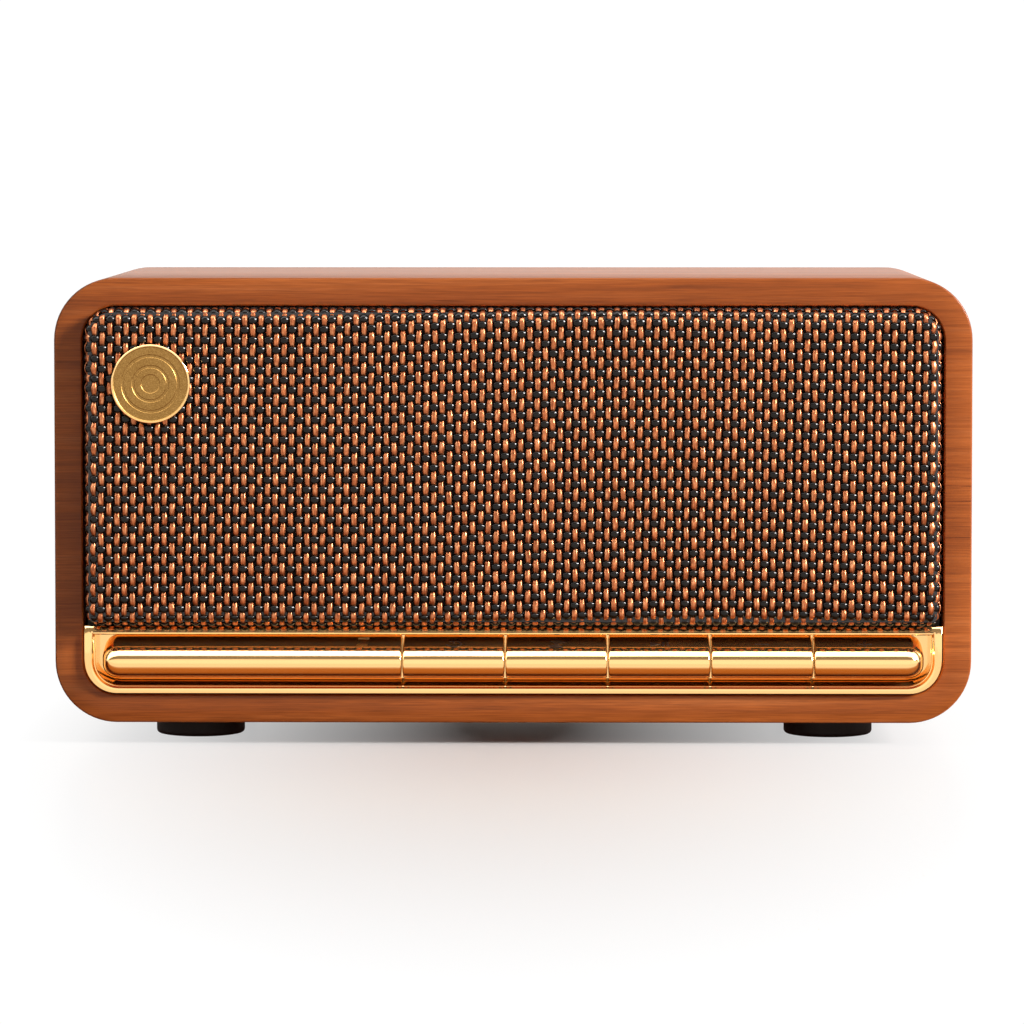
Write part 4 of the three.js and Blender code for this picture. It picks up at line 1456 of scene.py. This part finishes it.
class RADIO_OT_stage(bpy.types.Operator):
    """Sets the floor, the soft lights, the plain background and the camera"""

    bl_idname = "radio.stage"
    bl_label = "Stage"

    def execute(self, context):
        self.make_floor()
        self.make_world(context.scene)
        for light in LIGHTS:
            self.make_light(*light)
        self.make_camera(context.scene)
        context.scene.view_settings.view_transform = "Standard"
        return {"FINISHED"}

    def make_floor(self):
        """A pale glossy floor that fades to plain white away from the radio."""
        floor = start("floor", "plane", size=6, location=(0, 0, 0))
        material, tree, shader = surface(
            "white_acrylic", base_color=linear("e4dfdc"), roughness=0.3, ior=1.49,
            specular_ior_level=0.25)
        ray = node(tree, "LightPath").outputs
        # It throws less light back up at the radio than it shows.
        tone = ramp(tree, ray["Is Diffuse Ray"], (0.0, "e4dfdc"), (1.0, "a29c98"))
        tree.links.new(tone, shader.inputs["Base Color"])
        place = where(tree)
        across, along = FLOOR_FADE
        spot = node(tree, "Mapping", values={"Scale": (1 / across, 1 / along, 1)},
                    links={"Vector": place})
        apart = node(tree, "VectorMath", {"operation": "LENGTH"},
                     links={0: spot.outputs["Vector"]})
        share = spread(tree, apart.outputs["Value"], 0.0, 1.0, 0.1, 1.0)
        white = node(tree, "Emission", values={"Color": (1, 1, 1, 1), "Strength": 1.02})
        seen = node(tree, "MixShader", links={
            0: share, 1: shader.outputs["BSDF"], 2: white.outputs["Emission"]})
        # Mirrored in the gilt, the floor glows with painted shade near the radio, standing for its
        # shadow and reflection there, and white beyond.
        depth = node(tree, "SeparateXYZ", links={"Vector": place}).outputs["Y"]
        painted_floor_shade = ramp(tree, spread(tree, depth, 0.0, 1.0, *FLOOR_SHADE_DEPTHS), *FLOOR_SHADE_IN_GILT)
        mirrored = node(tree, "Emission", values={"Strength": 1.3}, links={"Color": painted_floor_shade})
        bare = node(tree, "MixShader", links={
            0: ray["Is Camera Ray"], 1: shader.outputs["BSDF"], 2: seen.outputs["Shader"]})
        mixed = node(tree, "MixShader", links={
            0: ray["Is Glossy Ray"], 1: bare.outputs["Shader"],
            2: mirrored.outputs["Emission"]})
        out = next(n for n in tree.nodes if n.bl_idname == "ShaderNodeOutputMaterial")
        tree.links.new(mixed.outputs["Shader"], out.inputs["Surface"])
        floor.data.materials.append(material)

    def make_world(self, scene):
        """White behind the radio, and a dimmer room in what it reflects."""
        world = bpy.data.worlds.new("studio")
        world.use_nodes = True
        tree = world.node_tree
        tree.nodes.clear()
        direction = node(tree, "TexCoord").outputs["Generated"]
        parts = node(tree, "SeparateXYZ", links={"Vector": direction})
        forward = node(tree, "Math", {"operation": "MULTIPLY"}, {1: -1.0},
                       {0: parts.outputs["Y"]}).outputs["Value"]
        turn = node(tree, "Math", {"operation": "ARCTAN2"},
                    links={0: parts.outputs["Z"], 1: forward}).outputs["Value"]
        height = spread(tree, turn, 0.0, 1.0, -math.pi, math.pi)
        strength = spread(tree, ramp(tree, height, *PANEL), ROOM_STRENGTH, PANEL_STRENGTH,
                          0.0, 1.0)
        mirrored = node(tree, "Background",
                        links={"Color": ramp(tree, height, *ROOM), "Strength": strength})
        fill = node(tree, "Background",
                    values={"Color": linear("fff8f0"), "Strength": FILL_STRENGTH})
        plain = node(tree, "Background", values={"Color": (1, 1, 1, 1), "Strength": 1.05})
        ray = node(tree, "LightPath").outputs
        lit = node(tree, "MixShader", links={
            0: ray["Is Glossy Ray"], 1: fill.outputs["Background"],
            2: mirrored.outputs["Background"]})
        mixed = node(tree, "MixShader", links={
            0: ray["Is Camera Ray"], 1: lit.outputs["Shader"], 2: plain.outputs["Background"]})
        node(tree, "OutputWorld", links={"Surface": mixed.outputs["Shader"]})
        scene.world = world

    def make_light(self, name, place, target, size, power):
        """A rectangular softbox that faces the target; places in millimetres."""
        data = bpy.data.lights.new(name, "AREA")
        data.shape = "RECTANGLE"
        data.size, data.size_y = size
        data.energy = power
        light = bpy.data.objects.new(name, data)
        light.location = Vector(place) * MM
        aim = (Vector(target) - Vector(place)).to_track_quat("-Z", "Y")
        light.rotation_euler = aim.to_euler()
        bpy.context.scene.collection.objects.link(light)

    def make_camera(self, scene):
        """The camera in front of the radio, a little above it."""
        data = bpy.data.cameras.new("camera")
        data.sensor_width = 36
        data.lens = CAMERA_LENS
        data.shift_y = CAMERA_SHIFT
        data.clip_start, data.clip_end = 0.05, 20
        camera = bpy.data.objects.new("camera", data)
        camera.location = Vector(CAMERA_PLACE) * MM
        camera.rotation_euler = (math.radians(90 - CAMERA_PITCH), 0, math.radians(CAMERA_YAW))
        scene.collection.objects.link(camera)
        scene.camera = camera


class RADIO_PT_sidebar(bpy.types.Panel):
    """Lists the radio's settings and pieces"""

    bl_idname = "RADIO_PT_sidebar"
    bl_label = "Tabletop radio"
    bl_space_type = "VIEW_3D"
    bl_region_type = "UI"
    bl_category = "Radio"

    def draw(self, context):
        layout = self.layout
        for group in (context.scene.radio_sizes, context.scene.radio_look):
            box = layout.box()
            for name in group.bl_rna.properties.keys():
                if name not in ("rna_type", "name"):
                    box.prop(group, name)
        for operator in OPERATORS:
            layout.operator(operator.bl_idname)


OPERATORS = (
    RADIO_OT_stage, RADIO_OT_finishes, RADIO_OT_sleeve, RADIO_OT_feet, RADIO_OT_grille,
    RADIO_OT_badge, RADIO_OT_bezel, RADIO_OT_bar, RADIO_OT_keys, RADIO_OT_icons,
    RADIO_OT_rear, RADIO_OT_radiator,
)
CLASSES = (RadioLook, RadioSizes, *OPERATORS, RADIO_PT_sidebar)


def register():
    for cls in CLASSES:
        bpy.utils.register_class(cls)
    bpy.types.Scene.radio_look = PointerProperty(type=RadioLook)
    bpy.types.Scene.radio_sizes = PointerProperty(type=RadioSizes)


def unregister():
    del bpy.types.Scene.radio_sizes
    del bpy.types.Scene.radio_look
    for cls in reversed(CLASSES):
        bpy.utils.unregister_class(cls)


def main():
    """Registers the add-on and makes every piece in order."""
    register()
    FINISHES.update(make_finishes(bpy.context.scene.radio_look))
    for operator in OPERATORS:
        group, name = operator.bl_idname.split(".")
        getattr(getattr(bpy.ops, group), name)()


if __name__ == "__main__":
    main()
